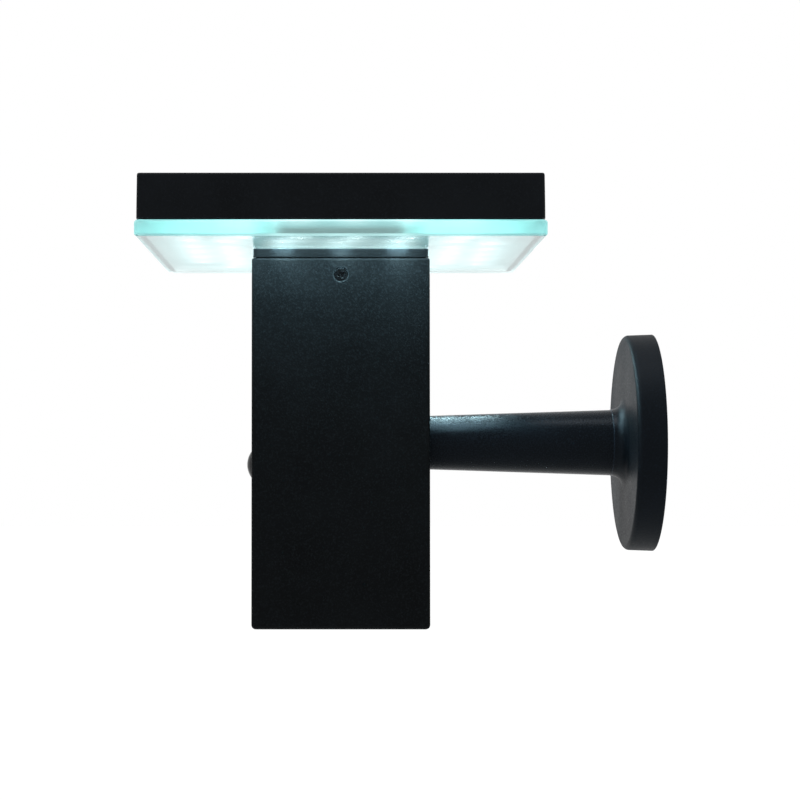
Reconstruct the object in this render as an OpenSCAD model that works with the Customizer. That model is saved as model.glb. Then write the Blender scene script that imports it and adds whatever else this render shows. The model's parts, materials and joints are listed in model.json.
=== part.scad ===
// Solar wall light: a flat square head on a box column, carried by one arm on a round wall flange.
// X points into the wall and Z points up. The origin lies on the wall, on the arm's axis.

/* [Column] */
// Width of the square column
col_w = 68; // [66:0.5:76]
// Height of the column above the arm's axis
col_above = 70.1; // [68:0.1:80]
// Depth of the column below the arm's axis
col_below = 71.3; // [69:0.1:85]
// Thickness of the column's walls
col_wall = 2.5; // [2:0.1:3]
// Thickness of the column's floor
col_floor = 4; // [3:0.1:5]
// Radius of the column's upright edges
col_edge_r = 1.2; // [0.6:0.1:1.8]
// Radius of the column's bottom edges
col_bottom_r = 2; // [1:0.1:2.4]
// Radius of the column's top edges
col_top_r = 0.8; // [0.3:0.1:1.2]
// Radius of the column's inner corners
col_inner_r = 1.5; // [1:0.1:3]

/* [Head] */
// Width of the glass plate
glass_w = 150; // [146:1:170]
// Thickness of the glass plate
glass_t = 6; // [4:0.5:8]
// Bevel along the plate's edges
glass_bevel = 0.8; // [0.4:0.1:1.2]
// Radius of the plate's corners
glass_corner_r = 1.6; // [1:0.1:3]
// Step from the glass edge in to the housing
head_inset = 0.75; // [0.5:0.05:2]
// Draft of the housing's sides, in degrees
head_draft = 1; // [0.5:0.1:2]
// Radius of the housing's top edges
head_top_r = 1; // [0.5:0.1:1.4]
// Radius of the housing's corners
head_corner_r = 2; // [1:0.1:4]
// Thickness of the housing's walls
head_wall = 3; // [2.4:0.1:3.6]
// Height of the bay for the lamp board
led_bay_h = 8.8; // [8:0.1:12]
// Thickness of the housing's web
web_t = 2.2; // [1.8:0.1:3]
// Depth of the tray for the solar panel
tray_depth = 5.6; // [5.2:0.1:7]
// Width of the rim round the solar panel
tray_rim = 3.2; // [2.6:0.1:5]
// Thickness of the seal between glass and housing
glass_gasket_t = 0.5; // [0.3:0.1:1]
// Width of the seal between glass and housing
glass_gasket_w = 2.2; // [1.6:0.1:2.3]
// Radius of the head's inner corners
inner_corner_r = 1; // [0.5:0.1:1.5]

/* [Solar panel] */
// Gap round the panel in its tray
panel_gap = 0.4; // [0.2:0.1:1]
// Thickness of the cover glass
cover_t = 3.2; // [2:0.1:3.2]
// Thickness of a solar cell
cell_t = 0.3; // [0.2:0.05:0.4]
// Thickness of the ribbons under the cells
ribbon_t = 0.2; // [0.1:0.05:0.3]
// Width of a ribbon
ribbon_w = 3; // [1:0.5:5]
// Thickness of the back sheet
backsheet_t = 0.4; // [0.3:0.1:0.6]
// Thickness of the panel's adhesive frame
adhesive_t = 0.9; // [0.5:0.1:1.1]
// Width of the panel's adhesive frame
adhesive_w = 10; // [6:1:16]
// Columns of solar cells
cell_cols = 3; // [2:1:4]
// Rows of solar cells
cell_rows = 6; // [4:1:8]
// Gap between solar cells
cell_gap = 1.4; // [0.8:0.1:2]
// Margin round the field of cells
cell_margin = 6; // [4:0.5:10]

/* [Lamp board] */
// Gap round the lamp board in its bay
led_board_gap = 5.25; // [3:0.25:6]
// Thickness of the lamp board
led_board_t = 1.6; // [1:0.1:2]
// Radius of the lamp board's corners
led_board_r = 2; // [1:0.5:4]
// Clearance between the glass and what hangs under the lamp board
led_gap = 0.2; // [0.1:0.1:1.6]
// Width of the window in the lamp board
led_window_w = 54; // [50:1:60]
// Lamps in a row
lamp_n = 5; // [4:1:7]
// Distance of the outer ring from the lamp board's edge
outer_in = 9; // [7:0.5:10]
// Distance between the two rings of lamps
ring_gap = 13.6; // [12:0.1:14]
// Distance of an outer row's first lamp from the corner
outer_first = 21.4; // [18:0.1:24]
// Distance of an outer row's last lamp from the corner
outer_last = 10.6; // [9:0.1:13]
// Length of a lamp
led_l = 3.5; // [2.8:0.1:5]
// Width of a lamp
led_w = 2.8; // [2:0.1:3.5]
// Height of a lamp
led_h = 0.8; // [0.6:0.1:1.2]
// Height of the lamp board's connector
led_conn_h = 3.4; // [2.4:0.1:3.6]
// Width of the lamp board's connector
led_conn_w = 6; // [5:0.5:7]
// Distance of that connector from the window
led_conn_in = 3; // [1:0.5:4]

/* [Neck] */
// Step from the column's face in to the neck
neck_inset = 0.5; // [0.2:0.1:2]
// Height of the visible neck
neck_h = 3.1; // [2.5:0.1:6]
// Thickness of the seal between neck and glass
neck_gasket_t = 0.5; // [0.3:0.1:1]
// Thickness of the seal between neck and column
body_gasket_t = 0.5; // [0.3:0.1:1]
// Setback of the two neck seals from the neck's face
neck_seal_inset = 1.2; // [0.6:0.1:1.4]
// Width of the spigot that passes the glass
spigot_w = 50; // [48:0.5:53]
// Wall of the spigot
spigot_wall = 3; // [2:0.1:4]
// Gap between spigot and glass
spigot_gap = 1; // [0.5:0.1:2]
// Depth of the plug inside the column
plug_h = 11; // [10:0.5:14]
// Wall of the plug
plug_wall = 4; // [3:0.1:5]
// Gap between plug and column
plug_gap = 0.25; // [0.1:0.05:0.4]
// Bore for the wire grommet
grommet_bore = 12; // [11:0.5:13]
// Bore through the wire grommet
grommet_hole = 8; // [7.4:0.1:9]
// Distance of the neck screws from the middle
neck_screw_at = 18.6; // [17.6:0.1:19.4]
// Diameter of the neck's bosses
neck_boss_d = 8.4; // [7.6:0.1:9]
// Diameter of the neck screws
neck_screw_d = 3.5; // [3:0.1:4]
// Length of the neck screws
neck_screw_len = 16; // [14:0.5:18]
// Head diameter of the neck screws
neck_head_d = 6.5; // [6:0.1:7]
// Head height of the neck screws
neck_head_h = 2.4; // [2:0.1:3]
// Thickness of the wire grommet's lips
grommet_lip_t = 1.2; // [0.8:0.1:1.4]
// Width of the wire grommet's lips
grommet_lip_w = 1.5; // [1:0.1:1.8]
// Radius of the spigot's corners
spigot_corner_r = 3; // [1:0.5:4]

/* [Column screws] */
// Distance of the column screws below the column's top
body_screw_drop = 6.2; // [5:0.1:7]
// Diameter of the column screws
body_screw_d = 3; // [2.5:0.1:3.5]
// Head diameter of the column screws
body_screw_head = 5.8; // [5.2:0.1:6.6]
// Length of the column screws
body_screw_len = 9; // [7:0.5:10]
// Width of the block round a column screw
screw_block_w = 10; // [8:0.5:12]
// Depth of that block beyond the screw's tip
screw_block_end = 2.2; // [1:0.1:3]
// Depth of a screw's hole beyond its tip
hole_extra = 0.5; // [0.3:0.1:0.8]
// Clearance round a screw in its thread
thread_fit = 0.05; // [0.03:0.01:0.08]
// Clearance round a screw in a plain hole
hole_fit = 0.2; // [0.1:0.05:0.4]

/* [Motion sensor] */
// Distance of the sensor below the arm's axis
pir_drop = 8.7; // [4:0.1:14]
// Diameter of the sensor's lens
lens_d = 13.4; // [12:0.1:16]
// Height of the lens over the column's face
lens_rise = 3.1; // [2:0.1:4]
// Wall of the lens
lens_wall = 0.8; // [0.6:0.1:1]
// Thickness of the lens rim in its seat
lens_rim_t = 1; // [0.7:0.1:1.2]
// Width of the lens rim's seat
lens_seat_w = 1.6; // [1.2:0.1:2]
// Thickness of the lens seal
lens_seal_t = 0.3; // [0.2:0.1:0.5]
// Gap round the lens
lens_gap = 0.1; // [0.05:0.05:0.2]
// Diameter of the sensor can
can_d = 8.2; // [7:0.1:9]
// Height of the sensor can
can_h = 4.2; // [3:0.1:5]
// Height of the sensor's socket
socket_h = 4; // [2:0.5:5]
// Width of the socket's rim round the can
socket_rim = 0.8; // [0.5:0.1:1]

/* [Inner frame] */
// Thickness of the frame's plates
frame_t = 2; // [1.6:0.1:2.4]
// Width of the frame
frame_w = 50; // [48:0.5:54]
// Distance of the frame's plate in front of the column's axis
frame_at = 6; // [5:0.1:7]
// Height of the frame's lower edge over the column's floor
frame_lift = 19; // [17:0.5:22]
// Distance of the frame screws from the middle
frame_screw_at = 14.5; // [13.5:0.1:15.5]
// Diameter of the frame screws
frame_screw_d = 3; // [2.5:0.1:3.5]
// Length of the frame screws
frame_screw_len = 9; // [6:0.5:10]
// Head diameter of the frame screws
frame_head_d = 5.6; // [5:0.1:6]
// Head height of the frame screws
frame_head_h = 2; // [1.6:0.1:2.4]
// Wall round a frame screw in the neck
frame_boss_wall = 2.5; // [2:0.1:3]
// Length of the frame's gussets
gusset_l = 9; // [6:0.5:10]
// Height of the frame's gussets
gusset_h = 9; // [6:0.5:9]
// Thickness of the frame's gussets
gusset_t = 2; // [1.6:0.1:2.4]
// Height of the board's standoffs
standoff_h = 6; // [5:0.5:7]
// Diameter of the board's standoffs
standoff_d = 6; // [5:0.5:7]
// Height of the notch for the leads
lead_notch_h = 9; // [8:0.5:12]
// Width of the notch for the leads
lead_notch_w = 16; // [12:1:20]

/* [Control board] */
// Width of the control board
board_w = 46; // [44:0.5:48]
// Height of the control board
board_h = 90; // [88:0.5:91]
// Thickness of the control board
board_t = 1.6; // [1:0.1:2]
// Distance of the board's screws from its edges
board_screw_in = 4; // [3.6:0.1:5]
// Diameter of the small screws
small_screw_d = 2.5; // [2:0.1:3]
// Head diameter of the small screws
small_head_d = 4.5; // [4:0.1:5]
// Head height of the small screws
small_head_h = 1.5; // [1:0.1:1.6]
// Length of the small screws
small_screw_len = 6; // [5:0.5:7]
// Wall round a small screw in its boss
small_boss_wall = 1.45; // [1:0.05:1.8]
// Height of a capacitor
cap_h = 7.7; // [5:0.1:8]
// Diameter of a capacitor
cap_d = 6.3; // [5:0.1:7]
// Spacing of the capacitors
cap_pitch = 9; // [8:0.5:12]
// Distance of the capacitors below the board's middle
cap_drop = 24; // [20:0.5:28]
// Length of the control chip
chip_l = 10; // [7:0.5:12]
// Width of the control chip
chip_w = 8; // [6:0.5:9]
// Width of the charging chip
charger_w = 7; // [5:0.5:8]
// Thickness of the chips
chip_t = 1.6; // [1:0.1:2]
// Distance of the chips above the board's middle
chip_rise = 20; // [18:0.5:26]
// Distance of the chips from the board's middle line
chip_at = 10; // [8:0.5:12]
// Length of the power transistor
fet_l = 9; // [6:0.5:10]
// Width of the power transistor
fet_w = 6.5; // [5:0.5:7]
// Thickness of the power transistor
fet_t = 2.2; // [1.6:0.1:2.6]
// Width of the charging coil
coil_w = 7; // [5:0.5:8]
// Height of the charging coil
coil_h = 4.5; // [3:0.1:5]
// Distance of coil and transistor from the board's middle line
coil_at = 15; // [12:0.5:17]
// Length of a resistor
res_l = 2; // [1.2:0.1:3]
// Width of a resistor
res_w = 1.2; // [0.6:0.1:1.6]
// Height of a resistor
res_h = 0.8; // [0.4:0.1:1]
// Spacing of the resistors
res_pitch = 5; // [4:0.5:6]
// Distance of the resistors above the board's middle
res_rise = 10; // [8:0.5:12]
// Width of a connector
conn_w = 6; // [5:0.5:7]
// Height of a connector
conn_h = 6; // [5:0.5:7]
// Depth of a connector
conn_d = 7; // [6:0.5:8]
// Distance of the connectors from the board's middle
conn_at = 9.2; // [8.4:0.1:10]

/* [Battery] */
// Diameter of a battery cell
batt_d = 18.4; // [14:0.1:18.6]
// Length of a battery cell
batt_l = 65; // [50:0.5:66]
// Gap between the two cells
batt_gap = 1.6; // [1.4:0.1:2]
// Wall of the battery holder
holder_wall = 1.8; // [1.5:0.1:2]
// Clearance of the cells in the holder
holder_fit = 0.3; // [0.2:0.1:0.5]
// Height of the battery's spring contacts
contact_h = 5; // [4:0.5:6]
// Thickness of the battery contacts
contact_t = 0.5; // [0.3:0.1:0.7]
// Width of the battery contacts
contact_w = 8; // [6:0.5:9]
// Distance of the holder's middle above the board's middle
holder_rise = 1.4; // [0:0.1:2]
// Distance of the holder screws from the holder's middle
holder_screw_at = 22; // [18:0.5:24]
// Depth of the battery holder
holder_depth = 16.8; // [13:0.2:18]
// Height of the holder's sides at their windows
holder_sill = 7.6; // [5:0.2:10]
// Distance of the holder's windows from its ends
holder_window_in = 12; // [8:1:20]
// Diameter of a cell's end button
batt_button_d = 6; // [4:0.5:8]
// Height of a cell's end button
batt_button_h = 1; // [0.5:0.1:1.5]
// Clearance round a lead in its hole
lead_hole_fit = 0.55; // [0.3:0.05:0.8]

/* [Switch] */
// Diameter of the switch's bezel
bezel_d = 18; // [17.4:0.1:20]
// Thickness of the switch's bezel
bezel_t = 1.2; // [1:0.1:1.5]
// Thickness of the switch's seal
switch_seal_t = 0.4; // [0.3:0.1:0.6]
// Diameter of the switch's barrel
barrel_d = 13.6; // [13.4:0.1:14]
// Height of the switch above the column's underside
switch_h = 12; // [11.5:0.1:13]
// Diameter of the push button
button_d = 10; // [9:0.1:10.4]
// Travel of the push button
button_travel = 1.2; // [0.8:0.1:1.4]
// Setback of the push button's face
button_setback = 0.2; // [0.1:0.1:0.5]
// Clearance round the push button
button_fit = 0.1; // [0.06:0.01:0.1]
// Overlap of the button's collar behind the bezel
collar_lip = 0.6; // [0.5:0.1:0.7]
// Thickness of the button's collar
collar_t = 1.2; // [0.8:0.1:1.4]
// Thickness of the switch's base
switch_base_t = 2.5; // [2:0.1:3]
// Thickness of the switch's nut
nut_t = 3; // [2:0.1:4]
// Diameter of the spring's wire
spring_wire_d = 0.6; // [0.4:0.05:0.7]
// Mean diameter of the spring
spring_d = 7.2; // [6.6:0.1:7.6]
// Turns of the spring
spring_turns = 5; // [3:1:5]
// Height of the switch's terminals
terminal_h = 3.4; // [2:0.1:3.6]
// Width of the switch's terminals
terminal_w = 2; // [1.6:0.1:2.4]
// Thickness of the switch's terminals
terminal_t = 0.8; // [0.5:0.1:1]
// Distance of the terminals from the switch's axis
terminal_at = 2.5; // [2:0.1:3.5]
// Diameter of the button's post
post_d = 4; // [3:0.1:5]
// Gap over the button's post when it is pressed
post_gap = 0.5; // [0.3:0.1:1]
// Thickness of the lip that holds the button's collar
collar_seat = 1.4; // [1:0.1:1.6]
// Wall of the switch's nut
nut_wall = 3.5; // [3:0.1:4]

/* [Arm] */
// Length of the arm from the column to the flange's face
arm_len = 78; // [60:1:100]
// Diameter of the arm at the column
arm_d = 21.2; // [20.4:0.1:24]
// Diameter of the arm at the flange
arm_root_d = 26.3; // [24:0.1:30]
// Radius of the fillet at the arm's root
root_r = 5.1; // [3:0.1:7]
// Diameter of the core in the arm
arm_core_d = 14; // [10:0.5:16]
// Narrowing of that core's radius towards the column
arm_core_taper = 2; // [1:0.1:3]
// Solid length at the column's end of the arm
arm_end_t = 14; // [11:0.5:18]
// Pitch circle of the arm's screws
arm_screw_pcd = 12; // [11:0.1:12.4]
// Diameter of the arm's screws
arm_screw_d = 4; // [3:0.1:4.2]
// Length of the arm's screws in the arm
arm_screw_grip = 8; // [6:0.5:9]
// Thickness of the arm's washers
washer_t = 0.8; // [0.5:0.1:1.2]
// Diameter of the arm's washers
washer_d = 7.6; // [7:0.1:8.2]
// Head height of the arm's screws
arm_head_h = 2.6; // [2:0.1:4]
// Head diameter of the arm's screws
arm_head_d = 7; // [6:0.1:7]
// Width of the arm's seal
arm_seal_w = 1; // [0.8:0.1:1]
// Depth of the arm's seal
arm_seal_t = 0.8; // [0.5:0.1:1.2]
// Margin of the arm's seal from the arm's edge
arm_seal_in = 0.9; // [0.7:0.1:1]

/* [Wall flange] */
// Diameter of the flange at the wall
flange_d = 85.7; // [80:0.1:100]
// Thickness of the flange
flange_t = 11.1; // [9.6:0.1:14]
// Draft of the flange's rim, in degrees
flange_draft = 2; // [0:0.1:3]
// Radius of the flange's front edge
flange_edge_r = 2; // [1:0.1:2.6]
// Thickness of the flange's face
flange_face_t = 3; // [2.6:0.1:4]
// Wall of the flange's rim
flange_wall = 3.3; // [3:0.1:4]
// Width of the weather seal in the flange's back
wall_seal_w = 1.4; // [1:0.1:1.6]
// Depth of the weather seal in the flange's back
wall_seal_t = 1; // [0.6:0.1:1.2]

/* [Wall bracket] */
// Thickness of the bracket's plate
bracket_t = 2.5; // [2:0.1:3]
// Thickness of the bracket's rim
bracket_rim_t = 2.4; // [2.2:0.1:3]
// Clearance round the bracket's rim
bracket_gap = 0.3; // [0.25:0.05:0.4]
// Clearance between the bracket's rim and the flange's face
bracket_end_gap = 0.5; // [0.3:0.1:0.8]
// Pitch circle of the wall screws
wall_screw_pcd = 54; // [44:1:60]
// Diameter of the wall screw holes
wall_screw_d = 5; // [4:0.1:6]
// Number of wall screw holes
wall_screw_n = 3; // [3:1:6]
// Diameter of the bracket's middle hole
bracket_hole_d = 20; // [16:1:28]
// Levelling angle to each side, in degrees
level_angle = 15; // [5:1:30]
// Diameter of the grub screw
grub_d = 4; // [3:0.1:5]
// Diameter of the grub screw's tip
grub_tip_d = 2.2; // [1.8:0.1:2.6]
// Depth of the grub screw's groove in the bracket
groove_depth = 1; // [0.8:0.1:1.2]
// Clearance round the grub screw's tip
groove_gap = 0.35; // [0.3:0.05:0.5]
// Distance of the grub screw from the wall
grub_at = 4.4; // [4:0.1:4.6]
// Setback of the grub screw in the flange's rim
grub_recess = 0.6; // [0.2:0.1:1]
// Depth of the grub screw's socket
grub_socket_h = 1.6; // [1:0.1:2]

/* [Wires] */
// Diameter of a lead
lead_d = 1.3; // [0.8:0.1:1.4]
// Spacing of the two leads in a pair
lead_pitch = 1.6; // [1.5:0.05:1.8]
// Distance of the lower leads under the frame
lead_drop = 3.4; // [2.5:0.1:5]

/* [Hidden] */
$fn = 64;

// Small overlap that lets a cut pass through a face
cut = 1;
// Reach of a cut across the whole object
across = 400;

// Heights, from the arm's axis
z_floor = -col_below;
z_floor_top = z_floor + col_floor;
z_neck = col_above + body_gasket_t;
z_neck_top = z_neck + neck_h;
z_glass = z_neck_top + neck_gasket_t;
z_housing = z_glass + glass_t + glass_gasket_t;
z_web = z_housing + led_bay_h;
z_tray = z_web + web_t;
z_rim = z_tray + tray_depth;
z_plug = z_neck - plug_h;
z_led_board = z_glass + glass_t + led_gap + max(small_head_h, led_h);
z_led_board_top = z_led_board + led_board_t;

// Column and head
col_x = -(flange_t + arm_len + col_w / 2);
col_inner = col_w - 2 * col_wall;
head_w = glass_w - 2 * head_inset;
head_h = z_rim - z_housing;
head_top_w = head_w - 2 * head_h * tan(head_draft);
bay_w = head_w - 2 * head_wall;
tray_w = head_top_w - 2 * tray_rim;
panel_w = tray_w - 2 * panel_gap;
neck_w = col_w - 2 * neck_inset;
plug_w = col_inner - 2 * plug_gap;
neck_seal_w = neck_w - 2 * neck_seal_inset;
glass_hole_w = spigot_w + 2 * spigot_gap;
screw_block_t = body_screw_len - col_wall - plug_gap + screw_block_end;

// Solar panel, from the tray's floor up
z_backsheet = z_tray + adhesive_t;
z_ribbon = z_backsheet + backsheet_t;
z_cell = z_ribbon + ribbon_t;
z_cover = z_cell + cell_t;
cell_field = panel_w - 2 * cell_margin;
cell_len = (cell_field - (cell_cols - 1) * cell_gap) / cell_cols;
cell_wid = (cell_field - (cell_rows - 1) * cell_gap) / cell_rows;

// Lamps
led_board_w = bay_w - 2 * led_board_gap;
outer_at = led_board_w / 2 - outer_in;
inner_at = outer_at - ring_gap;
inner_pitch = 2 * inner_at / (lamp_n - 1);
outer_pitch = (2 * outer_at - outer_first - outer_last) / (lamp_n - 1);
led_screw_at = (inner_at + outer_at) / 2;
led_boss_d = small_screw_d + 2 * small_boss_wall;
led_conn_at = led_window_w / 2 + led_conn_in + led_conn_w / 2;

// Frame, board and battery, with x from the column's axis
frame_x = -frame_at;
z_frame_top = z_plug;
z_frame = z_floor_top + frame_lift;
board_x = frame_x - frame_t - standoff_h;
board_face = board_x - board_t;
z_frame_flange = z_frame_top - frame_t;
z_board = (z_frame + z_frame_flange - lead_notch_h) / 2;
board_screw_y = board_w / 2 - board_screw_in;
board_screw_z = board_h / 2 - board_screw_in;
batt_x = frame_x + holder_wall + holder_fit + batt_d / 2;
batt_y = (batt_d + batt_gap) / 2;
z_batt = z_board + holder_rise;
holder_in = batt_l + contact_t + contact_h;
holder_h = holder_in + 2 * holder_wall;
holder_y = batt_y + batt_d / 2 + holder_fit + holder_wall;
holder_boss_h = small_screw_len - holder_wall - frame_t + hole_extra;
z_holder = z_batt - holder_h / 2;
z_cells = z_holder + holder_wall + contact_h;
conn_mid = board_face - conn_d / 2;
z_conn_top = z_board + board_h / 2 - 1;
z_conn_low = z_board - board_h / 2 + 1;
z_top_turn = z_frame_flange - lead_notch_h / 2;
z_low_turn = z_frame - lead_drop;
half_pitch = lead_pitch / 2;

// Switch
z_bezel_top = z_floor + bezel_t;
z_seal_top = z_bezel_top + switch_seal_t;
stem_bore = button_d + 2 * button_fit;
collar_d = button_d + 2 * collar_lip;
chamber_d = collar_d + 4 * button_fit;
z_collar = z_bezel_top + collar_seat;
z_collar_top = z_collar + collar_t;
z_switch_top = z_floor + switch_h;
z_base = z_switch_top - switch_base_t;
z_terminal_top = z_switch_top + terminal_h;
spring_low = z_collar_top + (spring_wire_d + button_fit) / 2;
spring_rise = z_base - (spring_wire_d + button_fit) / 2 - spring_low;
spring_steps = 20;
spring_sides = 6;

// Flange and bracket, with x from the wall
flange_r = flange_d / 2;
cup_r = flange_r - flange_wall;
cup_depth = flange_t - flange_face_t;
bracket_r = cup_r - bracket_gap;
bracket_h = cup_depth - bracket_end_gap;
groove_r = bracket_r - groove_depth;
tip_r = groove_r + bracket_gap;
grub_len = flange_r - grub_recess - tip_r;
groove_half = level_angle + asin((grub_tip_d / 2 + groove_gap) / groove_r);
arm_total = arm_len + flange_t;

// Moves children from the column's axis to their place
module at_column() {
  translate([col_x, 0, 0]) children();
}

// Turns a shape that stands along Z so that it lies along X
module along_x() {
  rotate([0, 90, 0]) children();
}

// Square with round corners, centred
module round_square(w, r) {
  square([w - 2 * r, w], center = true);
  square([w, w - 2 * r], center = true);
  for (x = [-1, 1], y = [-1, 1]) {
    translate([x * (w / 2 - r), y * (w / 2 - r)]) circle(r);
  }
}

// Upright block on a square with round corners
module round_block(w, r, h) {
  linear_extrude(h) round_square(w, r);
}

// Square frame of even height
module square_frame(outer, inner, r, h) {
  difference() {
    round_block(outer, r, h);
    translate([0, 0, -cut]) round_block(inner, max(r - (outer - inner) / 2, r / 3), h + 2 * cut);
  }
}

// Cuts children down to a side profile that is the same from all four sides
module shaped_block(h) {
  intersection() {
    children(0);
    rotate([90, 0, 0]) linear_extrude(across, center = true) children(1);
    rotate([90, 0, 90]) linear_extrude(across, center = true) children(1);
  }
}

// Side profile with sloping sides and round top corners
module drafted_profile(w, h, draft, r) {
  n = [cos(draft), sin(draft)];
  reach = (w / 2 * n[0] - r - (h - r) * n[1]) / n[0];
  c = [reach, h - r];
  polygon([
    [-w / 2, 0], [w / 2, 0], c + r * n, [c[0], h], [-c[0], h], [-c[0] - r * n[0], c[1] + r * n[1]]
  ]);
  for (side = [-1, 1]) translate([side * c[0], c[1]]) circle(r);
}

// Side profile with its own radius at the bottom and at the top
module upright_profile(w, h, r_low, r_top) {
  a = w / 2;
  polygon([
    [-a, r_low], [-a + r_low, 0], [a - r_low, 0], [a, r_low],
    [a, h - r_top], [a - r_top, h], [-a + r_top, h], [-a, h - r_top]
  ]);
  for (side = [-1, 1]) {
    translate([side * (a - r_low), r_low]) circle(r_low);
    translate([side * (a - r_top), h - r_top]) circle(r_top);
  }
}

// Side profile with the same bevel on every corner
module bevelled_profile(w, h, b) {
  a = w / 2;
  polygon([[-a, b], [-a + b, 0], [a - b, 0], [a, b], [a, h - b], [a - b, h], [-a + b, h], [-a, h - b]]);
}

// Screw with a flat-topped head over z = 0 and its shank below, with a hexagon socket
module socket_screw(d, head_d, head_h, len) {
  difference() {
    union() {
      cylinder(d = head_d, h = head_h);
      translate([0, 0, -len]) cylinder(d = d, h = len + head_h / 2);
    }
    translate([0, 0, head_h / 2]) cylinder(d = head_d * 0.5, h = head_h, $fn = 6);
  }
}

// Cross recess of a screw, cut down from z = 0
module cross_recess(head_d) {
  for (turn = [0, 90]) {
    rotate([0, 0, turn])
      translate([-head_d * 0.3, -head_d * 0.07, -head_d * 0.22])
        cube([head_d * 0.6, head_d * 0.14, head_d * 0.22 + cut]);
  }
}

// Countersunk screw with its head's face at z = 0
module countersunk_screw(d, head_d, len) {
  difference() {
    union() {
      translate([0, 0, -(head_d - d) / 2]) cylinder(d1 = d, d2 = head_d, h = (head_d - d) / 2);
      translate([0, 0, -len]) cylinder(d = d, h = len - (head_d - d) / 4);
    }
    cross_recess(head_d);
  }
}

// Round rod between two points
module rod(a, b, d) {
  v = b - a;
  len = norm(v);
  translate(a)
    rotate([0, acos(v[2] / len), atan2(v[1], v[0])])
      cylinder(d = d, h = len, $fn = 24);
}

// Lead along a list of points, with round bends
module lead(points) {
  for (i = [0 : len(points) - 2]) rod(points[i], points[i + 1], lead_d);
  for (i = [1 : len(points) - 2]) translate(points[i]) sphere(d = lead_d, $fn = 24);
}

// Puts children at the four corners of a square
module at_corners(reach) {
  for (x = [-1, 1], y = [-1, 1]) translate([x * reach, y * reach, 0]) children();
}

// Puts children at the corners and the middles of a square's sides
module at_eight(reach) {
  for (x = [-1 : 1], y = [-1 : 1]) {
    if (x != 0 || y != 0) translate([x * reach, y * reach, 0]) children();
  }
}

// Head

module housing_outside() {
  translate([0, 0, z_housing])
    shaped_block() {
      round_block(head_w, head_corner_r, head_h);
      drafted_profile(head_w, head_h, head_draft, head_top_r);
    }
}

module head_housing() {
  color("#16191c") at_column() difference() {
    union() {
      difference() {
        housing_outside();
        translate([0, 0, z_housing - cut]) round_block(bay_w, inner_corner_r, led_bay_h + cut);
        translate([0, 0, z_tray]) round_block(tray_w, inner_corner_r, tray_depth + cut);
      }
      translate([0, 0, z_housing])
        at_corners(neck_screw_at) cylinder(d = neck_boss_d, h = led_bay_h + web_t / 2);
      translate([0, 0, z_led_board_top])
        at_eight(led_screw_at) cylinder(d = led_boss_d, h = z_web - z_led_board_top + web_t / 2);
    }
    translate([0, 0, z_housing - cut])
      at_corners(neck_screw_at)
        cylinder(
          d = neck_screw_d + 2 * thread_fit,
          h = z_neck + neck_screw_len - z_housing + hole_extra + cut
        );
    translate([0, 0, z_led_board_top - cut])
      at_eight(led_screw_at)
        cylinder(d = small_screw_d + 2 * thread_fit, h = small_screw_len - led_board_t + hole_extra + cut);
    translate([0, 0, z_web - cut]) cylinder(d = grommet_hole, h = web_t + 2 * cut);
  }
}

module solar_cover_glass() {
  color("#1a2436") at_column()
    translate([0, 0, z_cover]) round_block(panel_w, inner_corner_r, cover_t);
}

module solar_cells() {
  color("#10182e") at_column()
    for (i = [0 : cell_cols - 1], j = [0 : cell_rows - 1]) {
      translate([
        -cell_field / 2 + i * (cell_len + cell_gap),
        -cell_field / 2 + j * (cell_wid + cell_gap),
        z_cell
      ]) cube([cell_len, cell_wid, cell_t]);
    }
}

module cell_ribbons() {
  color("#b8bcc0") at_column()
    for (i = [0 : cell_cols - 1]) {
      translate([
        -cell_field / 2 + cell_len / 2 + i * (cell_len + cell_gap) - ribbon_w / 2,
        -cell_field / 2,
        z_ribbon
      ]) cube([ribbon_w, cell_field, ribbon_t]);
    }
}

module solar_backsheet() {
  color("#e8e8e4") at_column()
    translate([0, 0, z_backsheet]) round_block(panel_w, inner_corner_r, backsheet_t);
}

module panel_adhesive() {
  color("#202020") at_column()
    translate([0, 0, z_tray])
      square_frame(panel_w, panel_w - 2 * adhesive_w, inner_corner_r, adhesive_t);
}

module glass_gasket() {
  color("#30383c") at_column()
    translate([0, 0, z_housing - glass_gasket_t])
      square_frame(bay_w + 2 * glass_gasket_w, bay_w, glass_gasket_w, glass_gasket_t);
}

module led_board() {
  color("#e6e8e2") at_column() difference() {
    translate([0, 0, z_led_board]) square_frame(led_board_w, led_window_w, led_board_r, led_board_t);
    translate([0, 0, z_led_board - cut])
      at_eight(led_screw_at) cylinder(d = small_screw_d + 2 * hole_fit, h = led_board_t + 2 * cut);
  }
}

// One lamp that hangs under its board
module lamp() {
  translate([-led_l / 2, -led_w / 2, -led_h]) cube([led_l, led_w, led_h]);
}

module leds() {
  color("#fff6cf") at_column() translate([0, 0, z_led_board]) {
    for (i = [0 : lamp_n - 1], j = [0 : lamp_n - 1]) {
      if (i == 0 || j == 0 || i == lamp_n - 1 || j == lamp_n - 1)
        translate([i * inner_pitch - inner_at, j * inner_pitch - inner_at, 0]) lamp();
    }
    for (side = [0 : 3], k = [0 : lamp_n - 1]) {
      rotate([0, 0, 90 * side])
        translate([k * outer_pitch + outer_first - outer_at, -outer_at, 0]) lamp();
    }
  }
}

module led_board_screws() {
  color("#b0b4b8") at_column()
    translate([0, 0, z_led_board])
      at_eight(led_screw_at)
        rotate([180, 0, 0]) socket_screw(small_screw_d, small_head_d, small_head_h, small_screw_len);
}

module led_connector() {
  color("#f0f0ea") at_column()
    translate([-led_conn_w / 2, led_conn_at - led_conn_w / 2, z_led_board_top])
      cube([led_conn_w, led_conn_w, led_conn_h]);
}

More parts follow.
